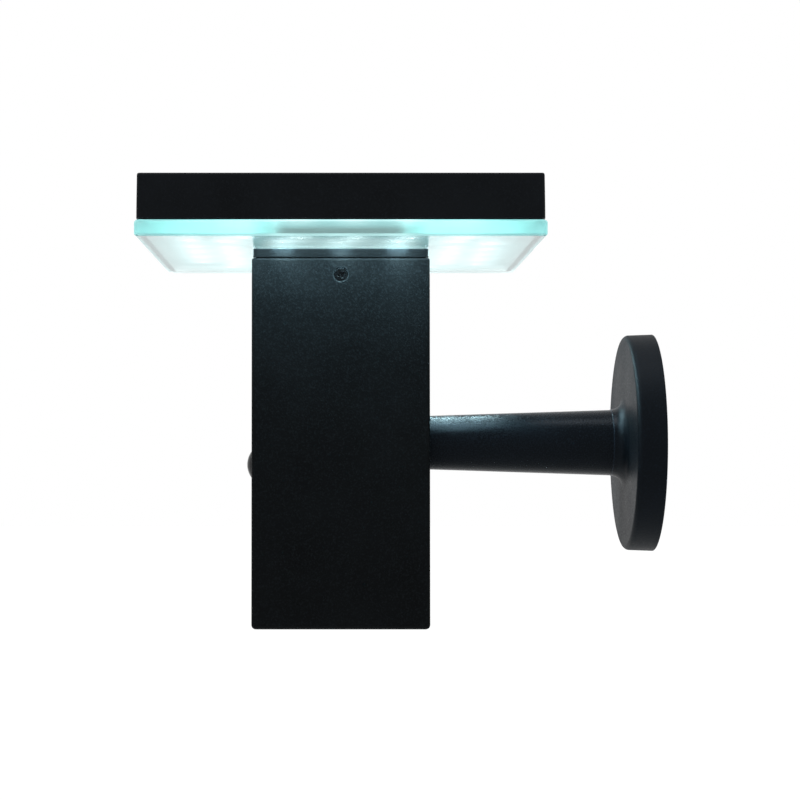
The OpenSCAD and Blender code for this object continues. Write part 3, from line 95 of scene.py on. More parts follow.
class Nodes:
    """The node tree of a material or of the world, with short calls for the nodes that the looks use."""

    def __init__(self, owner: "bpy.types.Material | bpy.types.World") -> None:
        """Empties the owner's tree.

        Args:
            owner: The material or the world.
        """
        owner.use_nodes = True
        self.tree = owner.node_tree
        self.tree.nodes.clear()

    def join(self, source: Socket, target: Socket) -> None:
        """Links one socket to another."""
        self.tree.links.new(source, target)

    def feed(self, target: Socket, value: Value) -> None:
        """Links a socket to the target, or writes a plain value on it.

        Args:
            target: The input that is set.
            value: A socket to link, a number, or a colour.
        """
        if isinstance(value, bpy.types.NodeSocket):
            self.join(value, target)
        elif isinstance(value, tuple) and len(value) == 3 and len(target.default_value) == 4:
            target.default_value = (*value, 1.0)
        else:
            target.default_value = value

    def fill(self, node: bpy.types.Node, values: "dict[str, Value | str]") -> bpy.types.Node:
        """Sets a node's properties, which have small letters, and feeds its inputs, which have capitals.

        Args:
            node: The node.
            values: What is set or fed, by name, with underscores for spaces.

        Returns:
            The node.
        """
        for key, value in values.items():
            if key.islower():
                setattr(node, key, value)
            else:
                self.feed(node.inputs[key.replace("_", " ")], value)
        return node

    def node(self, kind: str, **values: "Value | str") -> bpy.types.Node:
        """Adds a node of a kind, which is its type after the word ShaderNode, and fills it."""
        return self.fill(self.tree.nodes.new("ShaderNode" + kind), values)

    def point(self, stretch: Triple = (1.0, 1.0, 1.0), move: Triple = (0.0, 0.0, 0.0)) -> Socket:
        """Gives the point in Object coordinates, stretched along each axis and then moved."""
        place = self.node("TexCoord").outputs["Object"]
        return self.node("Mapping", Vector=place, Scale=stretch, Location=move).outputs["Vector"]

    def axes(self, vector: Socket) -> list[Socket]:
        """Splits a vector into its three parts."""
        return list(self.node("SeparateXYZ", Vector=vector).outputs)

    def noise(self, size: float, stretch: Triple = (1.0, 1.0, 1.0), detail: float = 2.0) -> Socket:
        """Gives noise from 0 to 1, with grains of a size in metres, longer where the stretch is small."""
        point = self.point(stretch)
        return self.node("TexNoise", Vector=point, Scale=1.0 / size, Detail=detail).outputs["Fac"]

    def specks(self, size: float) -> Socket:
        """Gives the distance to the nearest of many scattered points, as a share of their mean spacing."""
        return self.node("TexVoronoi", Vector=self.point(), Scale=1.0 / size).outputs["Distance"]

    def calc(self, operation: str, a: Value, b: Value = 0.0, c: Value = 0.0) -> Socket:
        """Does one step of maths.

        Args:
            operation: Name of the step, as the Math node has it.
            a: First value.
            b: Second value.
            c: Third value, where the step has one.

        Returns:
            The result socket.
        """
        node = self.node("Math", operation=operation)
        for socket, value in zip(node.inputs, (a, b, c)):
            self.feed(socket, value)
        return node.outputs[0]

    def spread(self, value: Socket, low: float, high: float, start: float = 0.3,
               end: float = 0.7) -> Socket:
        """Maps start to end onto low to high, clamped. Noise lies mostly from 0.3 to 0.7."""
        return self.node("MapRange", Value=value, From_Min=start, From_Max=end, To_Min=low,
                         To_Max=high).outputs[0]

    def mix(self, share: Value, a: Value, b: Value) -> Socket:
        """Mixes two colours.

        Args:
            share: 0 for the first colour and 1 for the second.
            a: First colour.
            b: Second colour.

        Returns:
            The colour socket.
        """
        node = self.node("Mix", data_type="RGBA", Factor=share)
        self.feed(node.inputs[6], a)
        self.feed(node.inputs[7], b)
        return node.outputs[2]

    def rounded(self, radius: float) -> Socket:
        """Gives a normal that turns softly round the solid's edges, as if they had that radius."""
        return self.node("Bevel", samples=4, Radius=radius).outputs["Normal"]

    def rim(self, rounded: Socket) -> Socket:
        """Gives 0 on a flat face, and up to 1 at an edge, where the rounded normal leans away from the face.

        Args:
            rounded: The normal that turns round the edges.

        Returns:
            The mask socket.
        """
        lean = self.node("VectorMath", operation="DOT_PRODUCT")
        self.join(rounded, lean.inputs[0])
        self.join(self.node("NewGeometry").outputs["Normal"], lean.inputs[1])
        return self.spread(lean.outputs["Value"], 1.0, 0.0, 0.75, 0.99)

    def mark(self, attribute: str) -> Socket:
        """Gives the number that the mesh itself carries under that name."""
        return self.node("Attribute", attribute_name=attribute).outputs["Fac"]

    def bump(self, height: Socket, depth: float, strength: float = 1.0,
             over: "Socket | None" = None) -> Socket:
        """Turns a height from 0 to 1 into a normal.

        Args:
            height: The height.
            depth: What a height of 1 stands for, in metres.
            strength: Strength of the effect.
            over: A normal from an earlier bump that this one adds to.

        Returns:
            The normal socket.
        """
        node = self.node("Bump", Height=height, Distance=depth, Strength=strength)
        if over is not None:
            self.join(over, node.inputs["Normal"])
        return node.outputs["Normal"]


class Graph(Nodes):
    """The node tree of one material, with one principled shader."""

    def __init__(self, name: str) -> None:
        """Makes the material and its shader.

        Args:
            name: Name of the material.
        """
        self.material = bpy.data.materials.new(name)
        super().__init__(self.material)
        self.shader = self.node("BsdfPrincipled")
        self.output = self.node("OutputMaterial")
        self.join(self.shader.outputs["BSDF"], self.output.inputs["Surface"])

    def put(self, **values: Value) -> None:
        """Feeds inputs of the shader."""
        self.fill(self.shader, values)

    def glow(self, colour: Value, strength: float) -> None:
        """Makes the surface glow as much as its mesh says. What it lights is lit by lights instead.

        Args:
            colour: Colour of the light.
            strength: Its strength where the mesh says 1.
        """
        share = self.calc("MULTIPLY", self.mark("glow"), strength)
        self.put(Emission_Color=colour, Emission_Strength=share)
        self.material.cycles.emission_sampling = "NONE"


# Finishes


@dataclass(frozen=True)
class Finish:
    """What all finishes share: a name and a main colour.

    In the finishes below, tones are factors on that colour. Uneven is how much the roughness varies, and
    polish is its range. Drift, mottle and grain are sizes of patches, and depth is how deep the grain is.
    """

    name: str
    colour: Colour

    def draw(self, graph: Graph) -> None:
        """Fills the graph. Each finish has its own."""
        raise NotImplementedError

    def material(self) -> bpy.types.Material:
        """Gives the finish's material, made once.

        Returns:
            The material.
        """
        found = bpy.data.materials.get(self.name)
        if found is None:
            graph = Graph(self.name)
            self.draw(graph)
            found = graph.material
        return found

    def tint(self, factor: float) -> Colour:
        """Gives the main colour times a factor."""
        return tuple(min(1.0, c * factor) for c in self.colour)

    def varied(self, graph: Graph, noise: Socket, low: float, high: float) -> Socket:
        """Gives the main colour, times a factor that a noise moves from low to high."""
        return graph.mix(graph.spread(noise, 0.0, 1.0), self.tint(low), self.tint(high))


@dataclass(frozen=True)
class PowderCoat(Finish):
    """Baked powder paint on cast metal: fine grain over a soft orange peel, with slightly uneven gloss.

    Fleck says how much paler its flecks are. Its edges are painted paler by a factor: a painted highlight
    for the light that rounded edges catch. It is rougher by matt where x has passed the span, which is the
    wall flange. Sheen is the tint of what it reflects.
    """

    roughness: float = 0.42
    gloss: float = 0.07
    drift: float = 22 * MM
    grain: float = 0.6 * MM
    grain_depth: float = 0.07 * MM
    fleck: float = 2.6
    peel: float = 2.2 * MM
    peel_depth: float = 0.02 * MM
    edge: float = 0.4 * MM
    edge_highlight: float = 6.0
    matt: float = 0.0
    span: Pair = (-16 * MM, -10 * MM)
    sheen: Colour = (1.0, 1.0, 1.0)
    tones: Pair = (0.8, 1.25)
    fleck_span: Pair = (0.5, 0.8)
    uneven: float = 0.04
    grit: float = 0.07
    rubbed: float = 0.12

    def draw(self, graph: Graph) -> None:
        """Layers grain, peel and a slow drift of the colour, with a paler line painted on the edges as a
        highlight.

        Args:
            graph: The graph to fill.
        """
        drift = graph.noise(self.drift)
        grain = graph.noise(self.grain, detail=1.0)
        shade = self.varied(graph, drift, *self.tones)
        flecks = graph.mix(graph.spread(grain, 0.0, 1.0, *self.fleck_span), shade, self.tint(self.fleck))
        rough = graph.calc("ADD", graph.spread(drift, -self.uneven, self.uneven), self.roughness)
        rough = graph.calc("ADD", graph.spread(grain, -self.grit, self.grit), rough)
        if self.matt:
            x, _, _ = graph.axes(graph.point())
            rough = graph.calc("ADD", graph.spread(x, 0.0, self.matt, *self.span), rough)
        round_edge = graph.rounded(self.edge)
        # Mask of the edges, painted paler: a painted highlight for the light that rounded edges catch.
        edge_highlight = graph.rim(round_edge)
        peel = graph.bump(graph.noise(self.peel), self.peel_depth, 0.5, round_edge)
        graph.put(Base_Color=graph.mix(edge_highlight, flecks, self.tint(self.edge_highlight)),
                  Roughness=graph.calc("MULTIPLY_ADD", edge_highlight, -self.rubbed, rough),
                  Normal=graph.bump(grain, self.grain_depth, 0.9, peel), IOR=1.5,
                  Specular_IOR_Level=self.gloss, Specular_Tint=self.sheen)


@dataclass(frozen=True)
class Moulded(Finish):
    """Moulded plastic or rubber with a fine eroded grain."""

    roughness: float = 0.5
    gloss: float = 0.35
    grain: float = 0.3 * MM
    drift: float = 9 * MM
    tones: Pair = (0.88, 1.12)
    uneven: float = 0.05
    depth: float = 0.01 * MM

    def draw(self, graph: Graph) -> None:
        """Puts a fine grain over a slow drift of colour and gloss.

        Args:
            graph: The graph to fill.
        """
        drift = graph.noise(self.drift)
        rough = graph.calc("ADD", graph.spread(drift, -self.uneven, self.uneven), self.roughness)
        graph.put(Base_Color=self.varied(graph, drift, *self.tones), Roughness=rough,
                  Specular_IOR_Level=self.gloss,
                  Normal=graph.bump(graph.noise(self.grain), self.depth, 0.7))


@dataclass(frozen=True)
class Metal(Finish):
    """Bare or plated metal with worked grain and faint tarnish."""

    roughness: float = 0.3
    lay: Lay = Lay.EVEN
    grain: float = 0.25 * MM
    tarnish: float = 5 * MM
    tones: Pair = (0.8, 1.05)
    uneven: Pair = (-0.08, 0.1)
    depth: float = 0.006 * MM

    def draw(self, graph: Graph) -> None:
        """Puts a worked grain over a faint tarnish.

        Args:
            graph: The graph to fill.
        """
        worked = graph.noise(self.grain, self.lay.value, 3.0)
        shade = self.varied(graph, graph.noise(self.tarnish, detail=4.0), *self.tones)
        rough = graph.calc("ADD", graph.spread(worked, *self.uneven), self.roughness)
        graph.put(Base_Color=shade, Metallic=1.0, Roughness=rough,
                  Normal=graph.bump(worked, self.depth, 0.6))


@dataclass(frozen=True)
class WornMetal(Metal):
    """Black metal that a driver has rubbed bright, as much as its mesh says."""

    bare: Colour = (0.36, 0.37, 0.38)
    patch: float = 0.5 * MM

    def draw(self, graph: Graph) -> None:
        """Rubs the metal bright in patches over its worked grain.

        Args:
            graph: The graph to fill.
        """
        super().draw(graph)
        patches = graph.spread(graph.noise(self.patch), 0.2, 1.0, 0.4, 0.6)
        rubbed = graph.calc("MULTIPLY", graph.mark("wear"), patches)
        graph.put(Base_Color=graph.mix(rubbed, self.colour, self.bare))


@dataclass(frozen=True)
class Glass(Finish):
    """Clear glass with a surface that is never quite even. Bend is its index of refraction."""

    roughness: float = 0.0
    ripple: float = 30 * MM
    bend: float = 1.5
    uneven: float = 0.01
    depth: float = 0.01 * MM

    def surface(self, graph: Graph, frost: Value) -> None:
        """Makes the clear surface.

        Args:
            graph: The graph.
            frost: What is added to the roughness.
        """
        wave = graph.noise(self.ripple, detail=0.0)
        rough = graph.spread(wave, self.roughness, self.roughness + self.uneven)
        rough = graph.calc("ADD", rough, frost)
        graph.put(Base_Color=self.colour, Transmission_Weight=1.0, IOR=self.bend, Roughness=rough,
                  Normal=graph.bump(wave, self.depth, 0.3))

    def draw(self, graph: Graph) -> None:
        """Makes the clear surface alone."""
        self.surface(graph, 0.0)


@dataclass(frozen=True)
class LitGlass(Glass):
    """Thick glass that takes up red and is frosted where its mesh says so, with a painted glow for the lamp
    light it carries.
    """

    absorb: Colour = (0.04, 0.98, 0.92)
    density: float = 5.6
    light: Colour = (0.15, 0.9, 0.85)
    bloom: Colour = (0.78, 1.0, 1.0)
    strength: float = 1.0

    def draw(self, graph: Graph) -> None:
        """Joins the surface, a faint painted glow that is paler by the lamps, and a body that absorbs light.

        Args:
            graph: The graph to fill.
        """
        self.surface(graph, graph.mark("frost"))
        # Painted glow: lamp light carried in the glass, painted as emission by the mesh's glow and pale marks.
        graph.glow(graph.mix(graph.mark("pale"), self.light, self.bloom), self.strength)
        body = graph.node("VolumeAbsorption", Color=self.absorb, Density=self.density)
        graph.join(body.outputs[0], graph.output.inputs["Volume"])


@dataclass(frozen=True)
class Silicon(Finish):
    """A solar cell: dark silicon with narrow silver fingers across it and wider bars along it."""

    finger_pitch: float = 1.6 * MM
    finger_width: float = 0.07 * MM
    bar_pitch: float = 14 * MM
    bar_width: float = 1.1 * MM
    silver: Colour = (0.4, 0.42, 0.45)
    crystal: float = 14 * MM
    gloss: float = 0.1
    middle: Pair = (0.0, 0.0)
    pale: float = 1.8
    metallic: float = 0.6
    polish: Pair = (0.22, 0.34)

    def stripe(self, graph: Graph, value: Socket, pitch: float, width: float) -> Socket:
        """Gives 1 on lines of that width and pitch across the value's direction, and 0 between them."""
        wave = graph.calc("PINGPONG", value, pitch / 2)
        return graph.calc("LESS_THAN", wave, width / 2)

    def draw(self, graph: Graph) -> None:
        """Draws fingers and bars over grainy silicon.

        Args:
            graph: The graph to fill.
        """
        x, y, _ = graph.axes(graph.point(move=(-self.middle[0], -self.middle[1], 0.0)))
        lines = graph.calc("MAXIMUM",
                           self.stripe(graph, x, self.finger_pitch, self.finger_width),
                           self.stripe(graph, y, self.bar_pitch, self.bar_width))
        tone = graph.spread(graph.noise(self.crystal, detail=5.0), 0.0, 1.0)
        silicon = graph.mix(tone, self.colour, self.tint(self.pale))
        graph.put(Base_Color=graph.mix(lines, silicon, self.silver),
                  Metallic=graph.calc("MULTIPLY", lines, self.metallic),
                  Roughness=graph.spread(tone, *self.polish, 0.0, 1.0), Specular_IOR_Level=self.gloss)


@dataclass(frozen=True)
class Laminate(Finish):
    """A circuit board: solder mask over copper tracks and bare pads."""

    track: Colour = (0.3, 0.5, 0.3)
    via: Colour = (0.75, 0.6, 0.35)
    pitch: float = 3.2 * MM
    track_width: float = 0.35 * MM
    cross_width: float = 0.3 * MM
    via_pitch: float = 5 * MM
    via_size: float = 0.11
    mottle: float = 2 * MM
    show_through: float = 0.6
    polish: Pair = (0.3, 0.42)
    depth: float = 0.03 * MM

    def draw(self, graph: Graph) -> None:
        """Draws tracks that run square to each other under the mask, and dots for vias.

        Args:
            graph: The graph to fill.
        """
        x, y, z = graph.axes(graph.point())
        bend = graph.calc("ROUND", graph.calc("DIVIDE", z, 4 * self.pitch))
        bend = graph.calc("MULTIPLY", bend, 0.4 * self.pitch)
        run = graph.calc("PINGPONG", graph.calc("ADD", y, bend), self.pitch / 2)
        across = graph.calc("PINGPONG", graph.calc("ADD", z, x), 2 * self.pitch)
        tracks = graph.calc("MAXIMUM", graph.calc("LESS_THAN", run, self.track_width),
                            graph.calc("LESS_THAN", across, self.cross_width))
        vias = graph.calc("LESS_THAN", graph.specks(self.via_pitch), self.via_size)
        mask = graph.mix(graph.calc("MULTIPLY", tracks, self.show_through), self.colour, self.track)
        graph.put(Base_Color=graph.mix(vias, mask, self.via),
                  Roughness=graph.spread(graph.noise(self.mottle), *self.polish),
                  Normal=graph.bump(tracks, self.depth, 0.5))


@dataclass(frozen=True)
class Glowing(Finish):
    """A pale surface that also sends out light, as much as its own attribute says: a lamp's window, or painted
    light on a part that the lamps light.
    """

    light: Colour = (0.82, 0.97, 1.0)
    strength: float = 1.0
    grain: float = 0.6 * MM
    tones: Pair = (0.95, 1.0)
    polish: Pair = (0.4, 0.55)

    def draw(self, graph: Graph) -> None:
        """Joins the mesh's own glow to the emission, over a fine matt mask.

        Args:
            graph: The graph to fill.
        """
        grain = graph.noise(self.grain)
        graph.put(Base_Color=self.varied(graph, grain, *self.tones),
                  Roughness=graph.spread(grain, *self.polish))
        graph.glow(self.light, self.strength)


@dataclass(frozen=True)
class Sleeve(Finish):
    """Soft insulation on a lead, or a shrunk wrap on a cell, with faint bands along it."""

    band: float = 6 * MM
    roughness: float = 0.38
    waver: float = 3 * MM
    mottle: float = 0.8 * MM
    grain: float = 0.5 * MM
    tones: Pair = (0.8, 1.15)
    uneven: float = 0.12
    depth: float = 0.01 * MM

    def draw(self, graph: Graph) -> None:
        """Puts faint bands and a soft grain on the sleeve.

        Args:
            graph: The graph to fill.
        """
        _, _, z = graph.axes(graph.point())
        bands = graph.calc("PINGPONG", graph.calc("ADD", z, graph.noise(self.waver)), self.band)
        share = graph.spread(bands, 0.0, 1.0, 0.0, self.band)
        rough = graph.spread(graph.noise(self.mottle), self.roughness, self.roughness + self.uneven)
        graph.put(Base_Color=graph.mix(share, *(self.tint(tone) for tone in self.tones)), Roughness=rough,
                  Normal=graph.bump(graph.noise(self.grain), self.depth, 0.5))


@dataclass(frozen=True)
class SmokedLens(Finish):
    """The motion sensor's lens: nearly black plastic that only warmth passes, with moulded facets."""

    facet: float = 1.5 * MM
    gloss: float = 0.13
    mottle: float = 2 * MM
    tones: Pair = (1.2, 0.7)
    facet_span: Pair = (0.1, 0.6)
    polish: Pair = (0.24, 0.34)
    depth: float = 0.03 * MM

    def draw(self, graph: Graph) -> None:
        """Puts facets under a satin surface.

        Args:
            graph: The graph to fill.
        """
        facets = graph.specks(self.facet)
        share = graph.spread(facets, 0.0, 1.0, *self.facet_span)
        graph.put(Base_Color=graph.mix(share, *(self.tint(tone) for tone in self.tones)),
                  Roughness=graph.spread(graph.noise(self.mottle), *self.polish),
                  Specular_IOR_Level=self.gloss, Normal=graph.bump(facets, self.depth, 0.6))


# These coats paint their edges paler: a painted highlight for the light that the edges catch.
COAT = PowderCoat("black powder coat", (0.0023, 0.0029, 0.0034), 0.38, 0.032, edge=0.55 * MM, edge_highlight=10.0)
HEAD_COAT = PowderCoat("black powder coat on the head", (0.004, 0.005, 0.0062), gloss=0.04, fleck=1.6)
ARM_COAT = PowderCoat("black powder coat on the arm", (0.0015, 0.0022, 0.0033), 0.28, 0.072, edge=0.6 * MM,
                      edge_highlight=14.0, matt=0.25, sheen=(0.72, 0.85, 1.0))
OXIDE = Metal("black oxide on steel", (0.01, 0.0115, 0.013), 0.26)
WORN_OXIDE = WornMetal("worn black oxide on steel", (0.006, 0.007, 0.008), 0.28)
DIFFUSER = LitGlass("aqua diffuser glass", (0.98, 1.0, 1.0), 0.02, light=(0.3, 0.93, 0.95), strength=1.1)
COVER = Glass("coated cover glass", (0.96, 0.98, 1.0), 0.05, bend=1.12)
PALE_SEAL = Moulded("pale silicone", (0.7, 0.84, 0.84), 0.6, 0.3)
BLACK_SEAL = Moulded("black rubber", (0.01, 0.011, 0.012), 0.75, 0.15)
BLACK_PLASTIC = Moulded("black plastic", (0.015, 0.017, 0.019), 0.42, 0.4)
WHITE_PLASTIC = Moulded("white plastic", (0.72, 0.72, 0.68), 0.45, 0.4)
BROWN_PLASTIC = Moulded("brown laminate", (0.2, 0.1, 0.04), 0.5, 0.3)
CHIP_PLASTIC = Moulded("chip plastic", (0.02, 0.02, 0.022), 0.6, 0.3, 0.15 * MM)
BACKSHEET = Moulded("white back sheet", (0.78, 0.79, 0.77), 0.5, 0.3)
STEEL = Metal("stainless steel", (0.56, 0.56, 0.55), 0.28)
ZINC = Metal("zinc plate", (0.6, 0.62, 0.63), 0.36, Lay.ALONG_X)
BRASS = Metal("tinned brass", (0.7, 0.58, 0.34), 0.3)
RIBBON = Metal("tinned ribbon", (0.7, 0.71, 0.72), 0.3)
GREEN_BOARD = Laminate("green circuit board", (0.012, 0.12, 0.04), (0.05, 0.26, 0.09))
RED_SLEEVE = Sleeve("red lead sleeve", (0.5, 0.02, 0.015))
BLUE_WRAP = Sleeve("blue cell wrap", (0.02, 0.1, 0.32), 16 * MM)
LENS = SmokedLens("smoked lens", (0.003, 0.0033, 0.0036))
# The board's glow is painted light from the lamps.
BOARD_GLOW = Glowing("white lamp board", (0.34, 0.46, 0.48), strength=5.0)
# The diode bodies glow with painted light from their windows.
DIODE_BODY_GLOW = Glowing("lamp body", (0.85, 0.86, 0.84), strength=2.0)
PHOSPHOR = Glowing("lamp window", (0.9, 0.85, 0.6), strength=30.0)


# Meshes


def skin(name: str, grids: Array, wrap: tuple[bool, bool], caps: bool = False) -> bpy.types.Mesh:
    """Makes a mesh from one grid of points, or from several alike.

    The face (i, j) joins the points (i, j), (i, j + 1), (i + 1, j + 1) and (i + 1, j). Where a direction
    wraps, its last row joins its first. With caps, one flat face closes the first row, and one the last.

    Args:
        name: Name of the mesh.
        grids: Points, as an array of grids, rows, columns and three lengths.
        wrap: Whether the rows and the columns wrap.
        caps: Whether the end rows are closed.

    Returns:
        The mesh.
    """
    count, rows, cols = grids.shape[:3]
    i = np.arange(rows if wrap[0] else rows - 1)[:, None]
    j = np.arange(cols if wrap[1] else cols - 1)[None, :]
    below, right = (i + 1) % rows, (j + 1) % cols
    quads = np.stack([i * cols + j, i * cols + right, below * cols + right, below * cols + j], -1)
    start = (np.arange(count) * rows * cols)[:, None, None]
    faces = (quads.reshape(1, -1, 4) + start).reshape(-1, 4).tolist()
    if caps:
        first = np.arange(cols)[None, :] + start[:, :, 0]
        faces += first[:, ::-1].tolist() + (first + (rows - 1) * cols).tolist()
    mesh = bpy.data.meshes.new(name)
    mesh.from_pydata(grids.reshape(-1, 3), [], faces)
    mesh.validate()
    return mesh


def rounded_square(half: "float | Array", radius: "float | Array", arc: int = 6, side: int = 1) -> Array:
    """Points once round a square with round corners.

    The formula: one quarter is the arc of a corner, from the x side to the y side, and then the straight side
    up to the next corner. The others are this one turned by a quarter, a half and three quarters.

    Args:
        half: Half the square's width, with one value or one for each row.
        radius: Radius of its corners, in the same form.
        arc: Number of points on a corner.
        side: Number of steps along a straight side.

    Returns:
        An array of points, two lengths each, with a row for each half width.
    """
    half, radius = np.broadcast_arrays(np.atleast_1d(half)[:, None], np.atleast_1d(radius)[:, None])
    turn = np.linspace(0.0, math.pi / 2, arc)
    share = np.arange(1, side) / side
    corner = (half - radius) * (1 + 1j) + radius * np.exp(1j * turn)
    straight = (half - radius) * (1 - 2 * share) + 1j * half
    quarter = np.concatenate([corner, straight], 1)
    whole = np.concatenate([quarter * 1j**k for k in range(4)], 1)
    return np.stack([whole.real, whole.imag], -1)


def ramp(values: Array, span: Pair) -> Array:
    """Gives 0 where the span starts and before it, 1 from its end on, and a straight rise between."""
    return np.clip((values - span[0]) / (span[1] - span[0]), 0.0, 1.0)


def raised(rings: Array, heights: Array) -> Array:
    """Gives rings of points in plan their heights, one height for each ring."""
    return np.concatenate([rings, np.broadcast_to(heights[:, None, None], (*rings.shape[:2], 1))], 2)


def smooth(mesh: bpy.types.Mesh, angle: float = 24.0) -> None:
    """Shades a mesh smooth, but for edges sharper than an angle in degrees."""
    mesh.polygons.foreach_set("use_smooth", np.ones(len(mesh.polygons), bool))
    mesh.set_sharp_from_angle(angle=math.radians(angle))


def show(name: str, data: bpy.types.ID) -> bpy.types.Object:
    """Puts an object in the scene."""
    made = bpy.data.objects.new(name, data)
    bpy.context.scene.collection.objects.link(made)
    return made


def piece(name: str, mesh: bpy.types.Mesh, finish: Finish,
          replaced: tuple[str, ...] = ()) -> bpy.types.Object:
    """Puts a new mesh in the scene as a piece that rides with the lamp unit.

    Args:
        name: Name of the piece.
        mesh: Its mesh, in the frame's place.
        finish: Its finish.
        replaced: The nodes that it stands for.

    Returns:
        The piece.
    """
    made = show(name, mesh)
    mesh.materials.append(finish.material())
    if replaced:
        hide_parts(*replaced)
    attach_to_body(made, LAMP_BODY)
    LOG.info("%s: %d points, %s", name, len(mesh.vertices), finish.name)
    return made


def attach(mesh: bpy.types.Mesh, values: Array, name: str = "glow") -> None:
    """Writes one number on each point of the mesh."""
    mark = mesh.attributes.new(name, "FLOAT", "POINT")
    mark.data.foreach_set("value", np.asarray(values, np.float32))


def hang(name: str, size: tuple[float, ...], energy: float, place: Triple, turn: float = 0.0) -> None:
    """Hangs a soft light that shines down and isn't seen itself, riding with the lamp unit.

    Args:
        name: Name of the light.
        size: Length and width of a strip, or the one width of a disk.
        energy: Its power, in watts.
        place: Its middle.
        turn: Its turn about the upright, in radians.
    """
    data = bpy.data.lights.new(name, "AREA")
    data.shape = "RECTANGLE" if len(size) == 2 else "DISK"
    data.size = size[0]
    if len(size) == 2:
        data.size_y = size[1]
    data.color = LAMP_LIGHT
    data.energy = energy
    lamp = show(name, data)
    lamp.location = place
    lamp.rotation_euler = (0.0, 0.0, turn)
    lamp.visible_camera = lamp.visible_transmission = False
    bpy.context.view_layer.update()
    stay = lamp.matrix_world.copy()
    lamp.parent = frame["bodies"][LAMP_BODY]
    lamp.matrix_world = stay


# Sub-assemblies


@dataclass
class SubAssembly:
    """A group of nodes with their finishes, and the pieces that are made for it."""

    finishes: dict[str, Finish] = field(default_factory=dict)

    def paint(self) -> None:
        """Gives each node its finish."""
        for node, finish in self.finishes.items():
            shown = frame["nodes"][node]
            shown.data.materials.clear()
            shown.data.materials.append(finish.material())
            LOG.info("%s: %s", node, finish.name)

    def build(self) -> None:
        """Makes the new pieces, where the group has some."""


